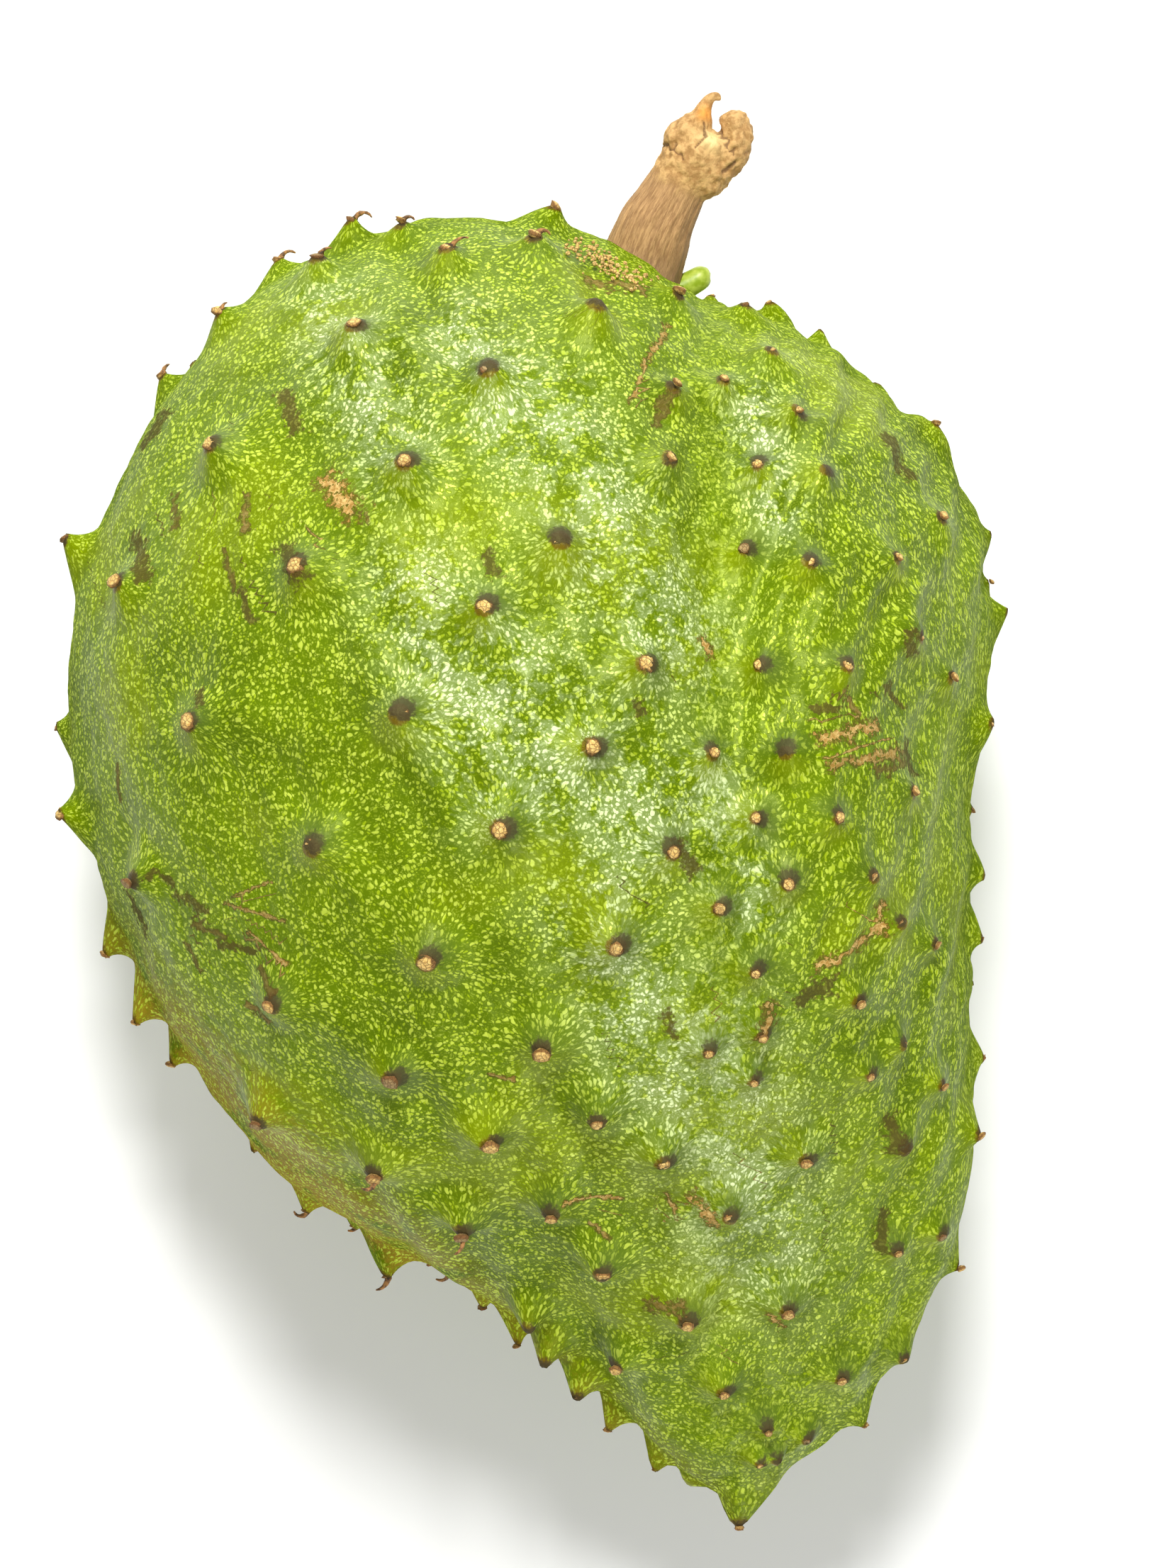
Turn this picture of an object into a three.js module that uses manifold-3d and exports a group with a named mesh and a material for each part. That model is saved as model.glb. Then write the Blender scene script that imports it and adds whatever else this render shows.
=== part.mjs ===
// A soursop lying on its side: one green, soft-spined fruit and its woody stalk.
// Millimetres. The origin is the middle of the small flat spot that the fruit rests on.
// +Z is up, +Y points to the stalk end, and the pointed tip lies towards -Y.

import * as THREE from 'three';
import { mergeVertices } from 'three/addons/utils/BufferGeometryUtils.js';
import Module from 'manifold-3d';

// The fruit's plan outline, seen from above: [direction in degrees from +X, radius].
const PLAN = [
  [0, 57.5], [20, 64], [35, 69], [50, 70], [62, 69.8], [72, 69],
  [85, 75], [100, 77.8], [118, 78.6], [140, 73.5], [160, 69.7], [180, 65.3],
  [205, 62.5], [230, 64.7], [250, 68.5], [262, 72.2], [272, 81], [280, 96.2],
  [284.5, 104], [290, 101], [300, 93.5], [312, 84], [325, 70.2], [340, 60.4],
];

// Nearer the middle the outline softens to an oval, so that the tip leaves no crease.
const OVAL_RADIUS = 61;
const OVAL_LENGTHENING = 19;
const OVAL_FADE = 3;

// The fruit's height, and how it thins towards its tip.
const MID_HEIGHT = 50;
const HALF_HEIGHT = 51.5;
const RIM_THINNING = 0.04;
const TIP_DIRECTION = 284.5;
const TIP_THINNING = 0.58;
const TIP_SPREAD = 34;
const TIP_DROOP = 9;
const TIP_REACH = 104;

// Swellings and hollows of the upper side: [x, y, half length, half width, turn, share of the height].
const UPPER_SWELLINGS = [
  [-12, 20, 42, 34, 0, 0.07],
  [38, 4, 58, 12, -3, 0.13],
  [22, 40, 44, 8, 3, -0.13],
  [14, -46, 30, 20, 10, 0.06],
];
const UNDER_SWELLINGS = [
  [-34, -18, 30, 24, 0, 0.04],
  [34, 26, 30, 22, 20, 0.05],
  [8, 62, 24, 20, 0, -0.05],
];

// Spines of the upper side, each placed on its own: [x, y] in plan.
const DOME_SPINES = [
  [-14, 68], [-3, 70], [-31, 67], [5, 59], [-25, 57], [-8, 51], [-43, 42], [-18, 39],
  [14, 40], [-31, 26], [-56, 25], [1, 29], [-8, 21], [11, 14], [-45, 7], [-18, 8],
  [5, 4], [-6, -6], [-29, -8], [-54, -12], [15, -9], [-35, -28], [-15, -22], [8, -20],
  [-1, -33], [-20, -37], [-38, -43], [-23, -50], [-8, -45], [6, -42], [-12, -57], [0, -55],
  [7, -63], [14, -48], [-3, -71], [18, -71], [9, -78],
];
const CREST_SPINES = [
  [15, 50], [22, 51], [16, 63], [29, 55], [27, 40], [35, 39], [32, 47], [25, 29],
  [33, 27], [44, 28], [51, 34], [27, 14], [37, 14], [20, 3], [30, 3], [26, -5],
  [52, 13], [47, 18], [30, -13], [21, -16], [26, -24], [44, -18], [49, -21], [39, -28],
  [20, -34], [26, -38], [45, -34], [51, -40], [36, -5], [33, -49], [23, -56], [31, -70],
  [23, -82], [29, -88], [39, -81], [46, -2], [27, -32], [40, -12], [41, -38], [46, -48],
  [46, -63], [52, -61], [28, -93],
];
// Spines round the edge, by their direction in degrees from +X.
const EDGE_SPINES = [
  1, 7, 12, 20, 24, 29, 42, 50, 58, 64, 67, 91, 101, 106, 111, 119, 126, 135, 155, 175,
  185, 199, 208, 215, 230, 239, 250, 257, 262, 266, 270, 273, 276, 279, 282, 284.5, 288,
  291, 296, 301, 310, 320, 327, 334, 340, 348, 355,
];
// Spines of the underside follow a golden-angle spiral about the line from tip to stalk.
const UNDER_SPINES = 260;
const GOLDEN_ANGLE = Math.PI * (3 - Math.sqrt(5));
const LONG_AXIS = new THREE.Vector3(-0.08, 1, 0).normalize();
const SPIRAL_CENTRE = new THREE.Vector3(4, -6, MID_HEIGHT);
const SPIRAL_CROWDING = 0.3;
const SPIRAL_JITTER = 0.5;
const EDGE_BAND = 9;
const GROUND_CLEARANCE = 1.5;
const STALK_CLEARANCE = 2;

// One spine: a low, fleshy cone whose tip leans over.
// Its radius grows with the distance to the next spine.
const SPINE_RADIUS = 1;
const SPINE_RADIUS_GROWTH = 0.17;
const SPINE_RADIUS_LIMITS = [1.7, 3.2];
const SPINE_HEIGHT = 2.2;
const EDGE_SPINE_HEIGHT = 2.7;
const SPINE_HEIGHT_VARIATION = 0.4;
// The wider spines and those near the tip stand taller, those on the +X side lower.
const LEAST_GROWTH = 0.5;
const HEIGHT_PER_RADIUS = 0.22;
const TIPWARD_GROWTH = 0.5;
const SIDE_LOSS = 0.45;
const SIDE_REACH = 60;
const SPINE_LEAN = 0.75;
// Which random draw sets a spine's height, and which two set its lean.
const HEIGHT_DRAW = 7;
const LEAN_DRAWS = [3, 5];
const SPINE_ROOT = 1.6;
const SPINE_SIDES = 5;
const EDGE_SCATTER = 30;
const OUTERMOST_SHARE = 0.995;

// The repeatable random numbers: a fast wave, of which only the fraction is kept.
const SCATTER_STEP = 12.9898;
const SCATTER_SCALE = 43758.5453;

// The stalk: [x, y, z, radius] along its middle line, from the fruit outwards.
const STALK = [
  [11.7, 69, 51.5, 5.8], [13.9, 75.3, 52.6, 5.2], [15.9, 79.1, 53.4, 4.5],
  [17.5, 82, 54, 4.2], [19.3, 84.6, 54.4, 4.6], [20.9, 86.8, 54.6, 4.4], [21.6, 88, 54.7, 3],
];
const STALK_LEFT_LUMP = [
  [17.2, 85.6, 54.8, 2.3], [17.9, 87.2, 55.3, 3], [18.8, 88.8, 55.8, 2.4], [19.4, 90, 56, 1.4],
];
const STALK_FLARE = [[17.4, 80.8, 53.8, 2.8], [20.6, 83, 54.4, 3.7], [22.6, 84.4, 54.8, 3]];
const STALK_RIGHT_LUMP = [
  [22.8, 83.6, 54.6, 2.4], [24, 85.4, 55, 2.8], [24.9, 87.8, 55.4, 2.6], [24.6, 89.9, 55.8, 1.9],
  [24.4, 91, 55.9, 1.2],
];
const STALK_SPLINTER = [
  [18.9, 88, 55.8, 2.4], [20, 89.7, 56.4, 1.8], [20.7, 91.5, 56.8, 1.1],
  [21.4, 92.6, 57, 0.8], [22.4, 92.9, 56.9, 0.6],
];
const STALK_GAP = 0.3;
const BAR_SIDES = 14;
// One plump soft spine beside the stalk's foot, along its middle line as well.
const NUB = [
  [16.5, 67, 50.6, 1.9], [18.6, 68, 50.9, 1.8], [20.4, 69, 51.1, 1.6], [21.3, 69.4, 51.2, 1],
];

// How finely the fruit's surface is divided, and how closely its surface is searched for.
const SIDES = 48;
const ROWS = 22;
const RAY_TOLERANCE = 0.001;
const SHARE_ROUNDS = 6;
const SLOPE_STEP = 0.05;

const degrees = (radians) => radians * 180 / Math.PI;
const radians = (angle) => angle * Math.PI / 180;
const turnFrom = (angle, other) => ((angle - other + 540) % 360 + 360) % 360 - 180;
const mix = (from, to, share) => from + (to - from) * share;
const clamp = (value, low, high) => Math.min(high, Math.max(low, value));

/** A repeatable random number from 0 to 1 for each whole number. */
function scatter(number) {
  const wave = Math.sin(number * SCATTER_STEP) * SCATTER_SCALE;
  return wave - Math.floor(wave);
}

/** A repeatable random number from -1/2 to 1/2 for each whole number. */
const sway = (number) => scatter(number) - 1 / 2;

/** The outline's radius in a direction: a closed smooth curve through PLAN's points. */
function planRadius(angle) {
  const turned = ((angle % 360) + 360) % 360;
  const count = PLAN.length;
  let here = count - 1;
  while (PLAN[here][0] > turned) here--;
  const knot = (step) => {
    const index = here + step;
    const lap = Math.floor(index / count);
    const [direction, radius] = PLAN[index - lap * count];
    return [direction + 360 * lap, radius];
  };
  const [before, from, to, after] = [knot(-1), knot(0), knot(1), knot(2)];
  const span = to[0] - from[0];
  const slopeFrom = (to[1] - before[1]) / (to[0] - before[0]) * span;
  const slopeTo = (after[1] - from[1]) / (after[0] - from[0]) * span;
  const t = (turned - from[0]) / span;
  const rise = t * t * (3 - 2 * t);
  return mix(from[1], to[1], rise) + t * (1 - t) * ((1 - t) * slopeFrom - t * slopeTo);
}

/** The oval that the outline softens to near the middle. */
function ovalRadius(direction) {
  return OVAL_RADIUS + OVAL_LENGTHENING * Math.cos(radians(direction - TIP_DIRECTION)) ** 2;
}

/** How far out a place is in plan: 0 in the middle, and 1 on the outline. */
function shareAt(x, y) {
  const direction = degrees(Math.atan2(y, x));
  const distance = Math.hypot(x, y);
  const outline = planRadius(direction);
  let share = distance / outline;
  if (share >= 1) return share;
  const oval = ovalRadius(direction);
  const extra = outline - oval;
  for (let round = 0; round < SHARE_ROUNDS; round++) {
    const error = share * oval + extra * share ** (OVAL_FADE + 1) - distance;
    share -= error / (oval + (OVAL_FADE + 1) * extra * share ** OVAL_FADE);
  }
  return share;
}

/** The sum of a side's swellings at a place, each a smooth hill that is longer one way. */
function swelling(list, x, y) {
  let sum = 0;
  for (const [cx, cy, long, wide, turn, share] of list) {
    const c = Math.cos(radians(turn));
    const s = Math.sin(radians(turn));
    const along = ((y - cy) * c - (x - cx) * s) / long;
    const across = ((x - cx) * c + (y - cy) * s) / wide;
    sum += share * Math.exp(-along * along - across * across);
  }
  return sum;
}

/** The height of the middle level, which droops towards the tip. */
function midLevel(y) {
  return MID_HEIGHT - TIP_DROOP * (Math.min(y, 0) / TIP_REACH) ** 2;
}

/** The greatest half height at a place, before the rim's rounding. */
function halfHeight(x, y, share, above) {
  const turn = turnFrom(degrees(Math.atan2(y, x)), TIP_DIRECTION) / TIP_SPREAD;
  const thinning = RIM_THINNING + TIP_THINNING * Math.exp(-turn * turn);
  const hills = swelling(above ? UPPER_SWELLINGS : UNDER_SWELLINGS, x, y);
  return HALF_HEIGHT * (1 - thinning * share * share) * (1 + hills);
}

/** A point of the smooth skin: a direction round the fruit, and an angle up from its middle level. */
function skinPoint(direction, lift) {
  const share = Math.cos(radians(lift));
  const radius = share * mix(ovalRadius(direction), planRadius(direction), share ** OVAL_FADE);
  const x = radius * Math.cos(radians(direction));
  const y = radius * Math.sin(radians(direction));
  const rise = Math.sin(radians(lift)) * halfHeight(x, y, share, lift > 0);
  return new THREE.Vector3(x, y, midLevel(y) + rise);
}

/** Below zero inside the smooth fruit, zero on its skin and above zero outside. */
function outside(point) {
  const share = shareAt(point.x, point.y);
  const rise = point.z - midLevel(point.y);
  const height = halfHeight(point.x, point.y, Math.min(share, 1), rise > 0);
  return share * share + (rise / height) ** 2 - 1;
}

/** The skin's outward direction at a point. */
function skinNormal(point) {
  const slope = ['x', 'y', 'z'].map((axis) => {
    const ahead = point.clone();
    const behind = point.clone();
    ahead[axis] += SLOPE_STEP;
    behind[axis] -= SLOPE_STEP;
    return outside(ahead) - outside(behind);
  });
  return new THREE.Vector3(...slope).normalize();
}

/** Where a ray from inside the fruit leaves its skin. */
function leavingPoint(from, heading) {
  let near = 0;
  let far = 2 * TIP_REACH;
  while (far - near > RAY_TOLERANCE) {
    const middle = (near + far) / 2;
    if (outside(from.clone().addScaledVector(heading, middle)) < 0) near = middle;
    else far = middle;
  }
  return from.clone().addScaledVector(heading, near);
}

/** The skin point straight above a place in plan. */
function skinAbove([x, y]) {
  const share = Math.min(shareAt(x, y), OUTERMOST_SHARE);
  return skinPoint(degrees(Math.atan2(y, x)), degrees(Math.acos(share)));
}

/** A closed surface through rings of points, from the pole that the rings turn left about. */
function closedSurface(start, rings, end) {
  const sides = rings[0].length;
  const points = [start, ...rings.flat(), end];
  const at = (ring, side) => 1 + ring * sides + side % sides;
  const faces = [];
  for (let side = 0; side < sides; side++) {
    faces.push(0, at(0, side), at(0, side + 1));
    for (let ring = 0; ring < rings.length - 1; ring++) {
      faces.push(at(ring, side), at(ring + 1, side), at(ring + 1, side + 1));
      faces.push(at(ring, side), at(ring + 1, side + 1), at(ring, side + 1));
    }
    faces.push(points.length - 1, at(rings.length - 1, side + 1), at(rings.length - 1, side));
  }
  const geometry = new THREE.BufferGeometry();
  geometry.setFromPoints(points);
  geometry.setIndex(faces);
  return geometry;
}

/** Two directions that stand square to an axis and to each other. */
function squareTo(axis) {
  const helper = Math.abs(axis.z) < 0.9 ? new THREE.Vector3(0, 0, 1) : new THREE.Vector3(1, 0, 0);
  const across = new THREE.Vector3().crossVectors(helper, axis).normalize();
  return [across, new THREE.Vector3().crossVectors(axis, across)];
}

/** A ring of points about a centre, square to an axis. */
function ringOf(centre, axis, radius, sides) {
  const [across, over] = squareTo(axis);
  return Array.from({ length: sides }, (_, side) => {
    const angle = 2 * Math.PI * side / sides;
    return centre.clone()
      .addScaledVector(across, radius * Math.cos(angle))
      .addScaledVector(over, radius * Math.sin(angle));
  });
}

/** The smooth body, without its spines. */
function bodyGeometry() {
  const rings = [];
  for (let row = 1; row < ROWS; row++) {
    const lift = 90 - 180 * row / ROWS;
    rings.push(Array.from({ length: SIDES }, (_, side) =>
      skinPoint(TIP_DIRECTION + 360 * side / SIDES, lift)));
  }
  return closedSurface(skinPoint(0, 90), rings, skinPoint(0, -90));
}

/** The places of all the spines' feet on the skin. */
function spineFeet() {
  const feet = [...DOME_SPINES, ...CREST_SPINES].map(skinAbove);
  EDGE_SPINES.forEach((direction, index) =>
    feet.push(skinPoint(direction, EDGE_SCATTER * sway(index))));
  const [across, over] = squareTo(LONG_AXIS);
  for (let index = 0; index < UNDER_SPINES; index++) {
    const part = (index + 1 / 2) / UNDER_SPINES;
    const lean = mix(Math.acos(1 - 2 * part), Math.PI * part, SPIRAL_CROWDING);
    const turn = index * GOLDEN_ANGLE + SPIRAL_JITTER * sway(index);
    const heading = LONG_AXIS.clone().multiplyScalar(Math.cos(lean))
      .addScaledVector(across, Math.sin(lean) * Math.cos(turn))
      .addScaledVector(over, Math.sin(lean) * Math.sin(turn));
    const foot = leavingPoint(SPIRAL_CENTRE, heading);
    if (foot.z < midLevel(foot.y) - EDGE_BAND) feet.push(foot);
  }
  return feet;
}

/** The spines that stand on the skin, each with its size and lean. */
function spines() {
  const feet = spineFeet();
  const stalkFoot = new THREE.Vector3(...STALK[0]);
  const fruitTip = skinPoint(TIP_DIRECTION, 0);
  const found = feet.map((foot, index) => {
    const others = feet.filter((other) => other !== foot);
    const spacing = Math.min(...others.map((other) => other.distanceTo(foot)));
    const normal = skinNormal(foot);
    const edge = 1 - Math.abs(normal.z);
    const radius = clamp(SPINE_RADIUS + SPINE_RADIUS_GROWTH * spacing, ...SPINE_RADIUS_LIMITS);
    const variation = 1 + SPINE_HEIGHT_VARIATION * sway(index + HEIGHT_DRAW);
    const tipward = 1 + TIPWARD_GROWTH * Math.max(-foot.y, 0) / TIP_REACH;
    const sideward = 1 - SIDE_LOSS * clamp(foot.x / SIDE_REACH, 0, 1);
    const growth = variation * tipward * sideward * (LEAST_GROWTH + HEIGHT_PER_RADIUS * radius);
    const height = growth * mix(SPINE_HEIGHT, EDGE_SPINE_HEIGHT, edge * edge);
    const end = foot.y > SPIRAL_CENTRE.y ? stalkFoot : fruitTip;
    const lean = end.clone().sub(foot).normalize();
    const [swayX, swayZ] = LEAN_DRAWS.map((draw) => sway(index + draw));
    lean.add(new THREE.Vector3(swayX, 0, swayZ));
    lean.projectOnPlane(normal).normalize().multiplyScalar(SPINE_LEAN * height * edge);
    return { foot, normal, radius, height, lean };
  });
  return found.filter(({ foot, normal, radius, height, lean }) => {
    const tip = foot.clone().addScaledVector(normal, height).add(lean);
    const clearOfGround = Math.min(tip.z, foot.z - radius) > GROUND_CLEARANCE;
    return clearOfGround && foot.distanceTo(stalkFoot) > STALK[0][3] + STALK_CLEARANCE;
  });
}

/** One spine: a plain cone, rooted in the skin, whose tip leans over. */
function spineGeometry({ foot, normal, radius, height, lean }) {
  const tip = foot.clone().addScaledVector(normal, height).add(lean);
  const root = foot.clone().addScaledVector(normal, -SPINE_ROOT);
  return closedSurface(tip, [ringOf(root, normal, radius, SPINE_SIDES)], root);
}

/** A round bar along a line of [x, y, z, radius], grown by a margin. */
function barGeometry(line, margin = 0) {
  const centres = line.map(([x, y, z]) => new THREE.Vector3(x, y, z));
  const rings = centres.map((centre, index) => {
    const ahead = centres[Math.min(index + 1, centres.length - 1)];
    const behind = centres[Math.max(index - 1, 0)];
    const axis = ahead.clone().sub(behind).normalize();
    return ringOf(centre, axis, line[index][3] + margin, BAR_SIDES);
  });
  return closedSurface(centres.at(-1), rings.reverse(), centres[0]);
}

const wasm = await Module();
wasm.setup();

/** The solid for a closed geometry. */
function solidOf(geometry) {
  const bare = geometry.clone();
  bare.deleteAttribute('normal');
  bare.deleteAttribute('uv');
  const merged = mergeVertices(bare);
  return new wasm.Manifold(new wasm.Mesh({
    numProp: 3,
    vertProperties: new Float32Array(merged.attributes.position.array),
    triVerts: new Uint32Array(merged.index.array),
  }));
}

/** The geometry of a solid. */
function geometryOf(solid) {
  const mesh = solid.getMesh();
  const geometry = new THREE.BufferGeometry();
  geometry.setAttribute('position', new THREE.BufferAttribute(mesh.vertProperties, 3));
  geometry.setIndex(new THREE.BufferAttribute(mesh.triVerts, 1));
  geometry.computeVertexNormals();
  return geometry;
}

/** The fruit: body, spines and nub grown as one, with the flat spot below and the stalk's pit. */
function fruitSolid() {
  let solid = solidOf(bodyGeometry());
  for (const spine of spines()) solid = solid.add(solidOf(spineGeometry(spine)));
  solid = solid.add(solidOf(barGeometry(NUB)));
  const groundWidth = 4 * TIP_REACH;
  const ground = new THREE.BoxGeometry(groundWidth, groundWidth, MID_HEIGHT);
  ground.translate(0, 0, -MID_HEIGHT / 2);
  const foot = new THREE.Vector3(...STALK[0]);
  const next = new THREE.Vector3(...STALK[1]);
  const deeper = foot.clone().sub(next).setLength(STALK_GAP).add(foot);
  const pit = [[...deeper, STALK[0][3]], ...STALK.slice(0, 3)];
  return solid.subtract(solidOf(ground)).subtract(solidOf(barGeometry(pit, STALK_GAP)));
}

/** The stalk: a woody bar that flares into a torn knob of two lumps and a curled splinter. */
function stalkSolid() {
  const parts = [STALK, STALK_FLARE, STALK_LEFT_LUMP, STALK_RIGHT_LUMP, STALK_SPLINTER];
  return wasm.Manifold.union(parts.map((line) => solidOf(barGeometry(line))));
}

/** A named mesh with its own finish. */
function piece(name, solid, finish) {
  const mesh = new THREE.Mesh(geometryOf(solid), new THREE.MeshStandardMaterial(finish));
  mesh.name = name;
  return mesh;
}

const soursop = new THREE.Group();
soursop.add(piece('fruit', fruitSolid(), { color: 0x8fa521, roughness: 0.4, metalness: 0 }));
soursop.add(piece('stalk', stalkSolid(), { color: 0xb08a57, roughness: 0.85, metalness: 0 }));

export default soursop;
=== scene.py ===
# %% [markdown]
# # A soursop lying on its side
# A soursop is one fleshy green fruit on a short woody stalk. Its skin carries soft spines with
# corky tips, and it is covered in pale raised flecks that run outwards from every spine.
# This lesson builds the skin, the corks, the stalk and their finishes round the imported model.

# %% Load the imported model
import math

import bpy
import numpy as np
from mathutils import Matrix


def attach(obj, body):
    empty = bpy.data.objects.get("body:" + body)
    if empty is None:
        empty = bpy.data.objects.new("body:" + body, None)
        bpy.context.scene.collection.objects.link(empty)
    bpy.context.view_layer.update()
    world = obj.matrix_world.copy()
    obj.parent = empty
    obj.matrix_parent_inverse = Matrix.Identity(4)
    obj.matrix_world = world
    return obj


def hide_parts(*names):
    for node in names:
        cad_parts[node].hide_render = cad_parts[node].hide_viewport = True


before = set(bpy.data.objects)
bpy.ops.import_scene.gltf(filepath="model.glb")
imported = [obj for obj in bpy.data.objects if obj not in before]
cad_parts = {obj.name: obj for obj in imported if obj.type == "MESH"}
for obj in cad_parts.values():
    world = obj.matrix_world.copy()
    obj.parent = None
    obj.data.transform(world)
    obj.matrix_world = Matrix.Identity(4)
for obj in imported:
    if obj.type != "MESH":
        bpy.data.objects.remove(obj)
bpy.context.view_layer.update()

MM = 0.001

# %% [markdown]
# ## The camera
# The fruit is seen from straight above, with its stalk end up. A long lens from a little
# over half a metre keeps its proportions. The frame's long side spans a known width at the
# level where the fruit is widest, so the lens follows from the distance.

# %% Camera
VIEW_CENTRE = (0.0048, -0.0006, 0.050)
VIEW_DISTANCE = 0.60
VIEW_SPAN = 0.2157
SENSOR_WIDTH = 36.0


def add_camera():
    """A camera above the fruit that looks straight down."""
    lens = bpy.data.cameras.new("camera")
    lens.sensor_width = SENSOR_WIDTH
    lens.lens = SENSOR_WIDTH * VIEW_DISTANCE / VIEW_SPAN
    camera = bpy.data.objects.new("camera", lens)
    bpy.context.scene.collection.objects.link(camera)
    camera.location = VIEW_CENTRE
    camera.location.z += VIEW_DISTANCE
    bpy.context.scene.camera = camera
    return camera


camera = add_camera()
print("Lens, mm:", round(camera.data.lens, 1))

# %% [markdown]
# ## The shape of the fruit
# The fruit is a lopsided heart with a pointed tip. Seen from above it has one outline, so its
# shape can be two functions: how far the outline reaches in each direction, and how thick the
# fruit is at each place inside. The same two functions and sizes shaped the CAD solid, so the
# fine skin lies where the plain solid lies.

# %% Sizes of the fruit, in millimetres and degrees
PLAN = np.array([
    [0, 57.5], [20, 64], [35, 69], [50, 70], [62, 69.8], [72, 69],
    [85, 75], [100, 77.8], [118, 78.6], [140, 73.5], [160, 69.7], [180, 65.3],
    [205, 62.5], [230, 64.7], [250, 68.5], [262, 72.2], [272, 81], [280, 96.2],
    [284.5, 104], [290, 101], [300, 93.5], [312, 84], [325, 70.2], [340, 60.4],
])
OVAL_RADIUS, OVAL_LENGTHENING, OVAL_FADE = 61, 19, 3
MID_HEIGHT, HALF_HEIGHT = 50, 51.5
RIM_THINNING = 0.04
TIP_DIRECTION, TIP_THINNING, TIP_SPREAD = 284.5, 0.58, 34
TIP_DROOP, TIP_REACH = 9, 104
UPPER_SWELLINGS = [
    [-12, 20, 42, 34, 0, 0.07],
    [38, 4, 58, 12, -3, 0.13],
    [22, 40, 44, 8, 3, -0.13],
    [14, -46, 30, 20, 10, 0.06],
]
UNDER_SWELLINGS = [
    [-34, -18, 30, 24, 0, 0.04],
    [34, 26, 30, 22, 20, 0.05],
    [8, 62, 24, 20, 0, -0.05],
]


def mix(start, end, share):
    """The value a share of the way from start to end."""
    return start + (end - start) * share


def plan_radius(direction):
    """The outline's radius: cubic curves joined with one slope at each point of PLAN."""
    turned = np.mod(direction, 360)
    here = np.searchsorted(PLAN[:, 0], turned, side="right") - 1

    def knot(step):
        lap, index = np.divmod(here + step, len(PLAN))
        return PLAN[index, 0] + 360 * lap, PLAN[index, 1]

    (a0, r0), (a1, r1), (a2, r2), (a3, r3) = knot(-1), knot(0), knot(1), knot(2)
    slope_from = (r2 - r0) / (a2 - a0) * (a2 - a1)
    slope_to = (r3 - r1) / (a3 - a1) * (a2 - a1)
    t = (turned - a1) / (a2 - a1)
    return mix(r1, r2, t * t * (3 - 2 * t)) + t * (1 - t) * ((1 - t) * slope_from - t * slope_to)


def oval_radius(direction):
    """The oval that the outline softens to near the middle."""
    return OVAL_RADIUS + OVAL_LENGTHENING * np.cos(np.radians(direction - TIP_DIRECTION)) ** 2


print("Outline, mm:", plan_radius(np.array([0, 90, 180, 270])).round(1))

# %% [markdown]
# A point of the skin needs a direction round the fruit and a lift up from its middle level.
# The same shape is also written the other way, as a number that is negative inside and
# positive outside. Its slope gives the direction that the skin faces, and a few steps along
# that slope bring any nearby point onto the skin.

# %% The smooth skin
SHARE_ROUNDS = 6
SLOPE_STEP = 0.05


def share_at(x, y):
    """How far out a place is: 0 in the middle, 1 on the outline, by Newton's method."""
    direction = np.degrees(np.arctan2(y, x))
    distance = np.hypot(x, y)
    outline, oval = plan_radius(direction), oval_radius(direction)
    extra = outline - oval
    beyond = distance / outline
    share = np.minimum(beyond, 1)
    for _ in range(SHARE_ROUNDS):
        error = share * oval + extra * share ** (OVAL_FADE + 1) - distance
        share = share - error / (oval + (OVAL_FADE + 1) * extra * share**OVAL_FADE)
    return np.where(beyond >= 1, beyond, share)


def swelling(hills, x, y):
    """The sum of smooth hills, each a bell curve with its own length, width and turn."""
    total = 0
    for centre_x, centre_y, long, wide, turn, height in hills:
        c, s = math.cos(math.radians(turn)), math.sin(math.radians(turn))
        along = ((y - centre_y) * c - (x - centre_x) * s) / long
        across = ((x - centre_x) * c + (y - centre_y) * s) / wide
        total = total + height * np.exp(-(along**2) - across**2)
    return total


def mid_level(y):
    """The height of the fruit's widest level, which droops towards the tip."""
    return MID_HEIGHT - TIP_DROOP * (np.minimum(y, 0) / TIP_REACH) ** 2


def half_height(x, y, share, above):
    """Half the fruit's thickness: full in the middle, thinner towards the tip, with hills."""
    away = np.mod(np.degrees(np.arctan2(y, x)) - TIP_DIRECTION + 180, 360) - 180
    thinning = RIM_THINNING + TIP_THINNING * np.exp(-((away / TIP_SPREAD) ** 2))
    hills = np.where(above, swelling(UPPER_SWELLINGS, x, y), swelling(UNDER_SWELLINGS, x, y))
    return HALF_HEIGHT * (1 - thinning * share * share) * (1 + hills)


def skin_point(direction, lift):
    """Skin points: the outline shrunk by the lift's cosine, raised by its sine."""
    share = np.cos(np.radians(lift))
    radius = share * mix(oval_radius(direction), plan_radius(direction), share**OVAL_FADE)
    x = radius * np.cos(np.radians(direction))
    y = radius * np.sin(np.radians(direction))
    rise = np.sin(np.radians(lift)) * half_height(x, y, share, lift > 0)
    return np.stack([x, y, mid_level(y) + rise], axis=-1)


def outside(points):
    """Squared share plus squared height over the half height, less 1."""
    x, y, z = np.moveaxis(points, -1, 0)
    share = share_at(x, y)
    rise = z - mid_level(y)
    return share**2 + (rise / half_height(x, y, np.minimum(share, 1), rise > 0)) ** 2 - 1


def skin_slope(points):
    """How fast outside() grows along x, y and z, from a small step each way."""
    steps = SLOPE_STEP * np.eye(3)
    grown = [outside(points + step) - outside(points - step) for step in steps]
    return np.stack(grown, axis=-1) / (2 * SLOPE_STEP)


def unit(vectors):
    """The same directions with length 1."""
    return vectors / np.maximum(np.linalg.norm(vectors, axis=-1, keepdims=True), 1e-9)


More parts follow.
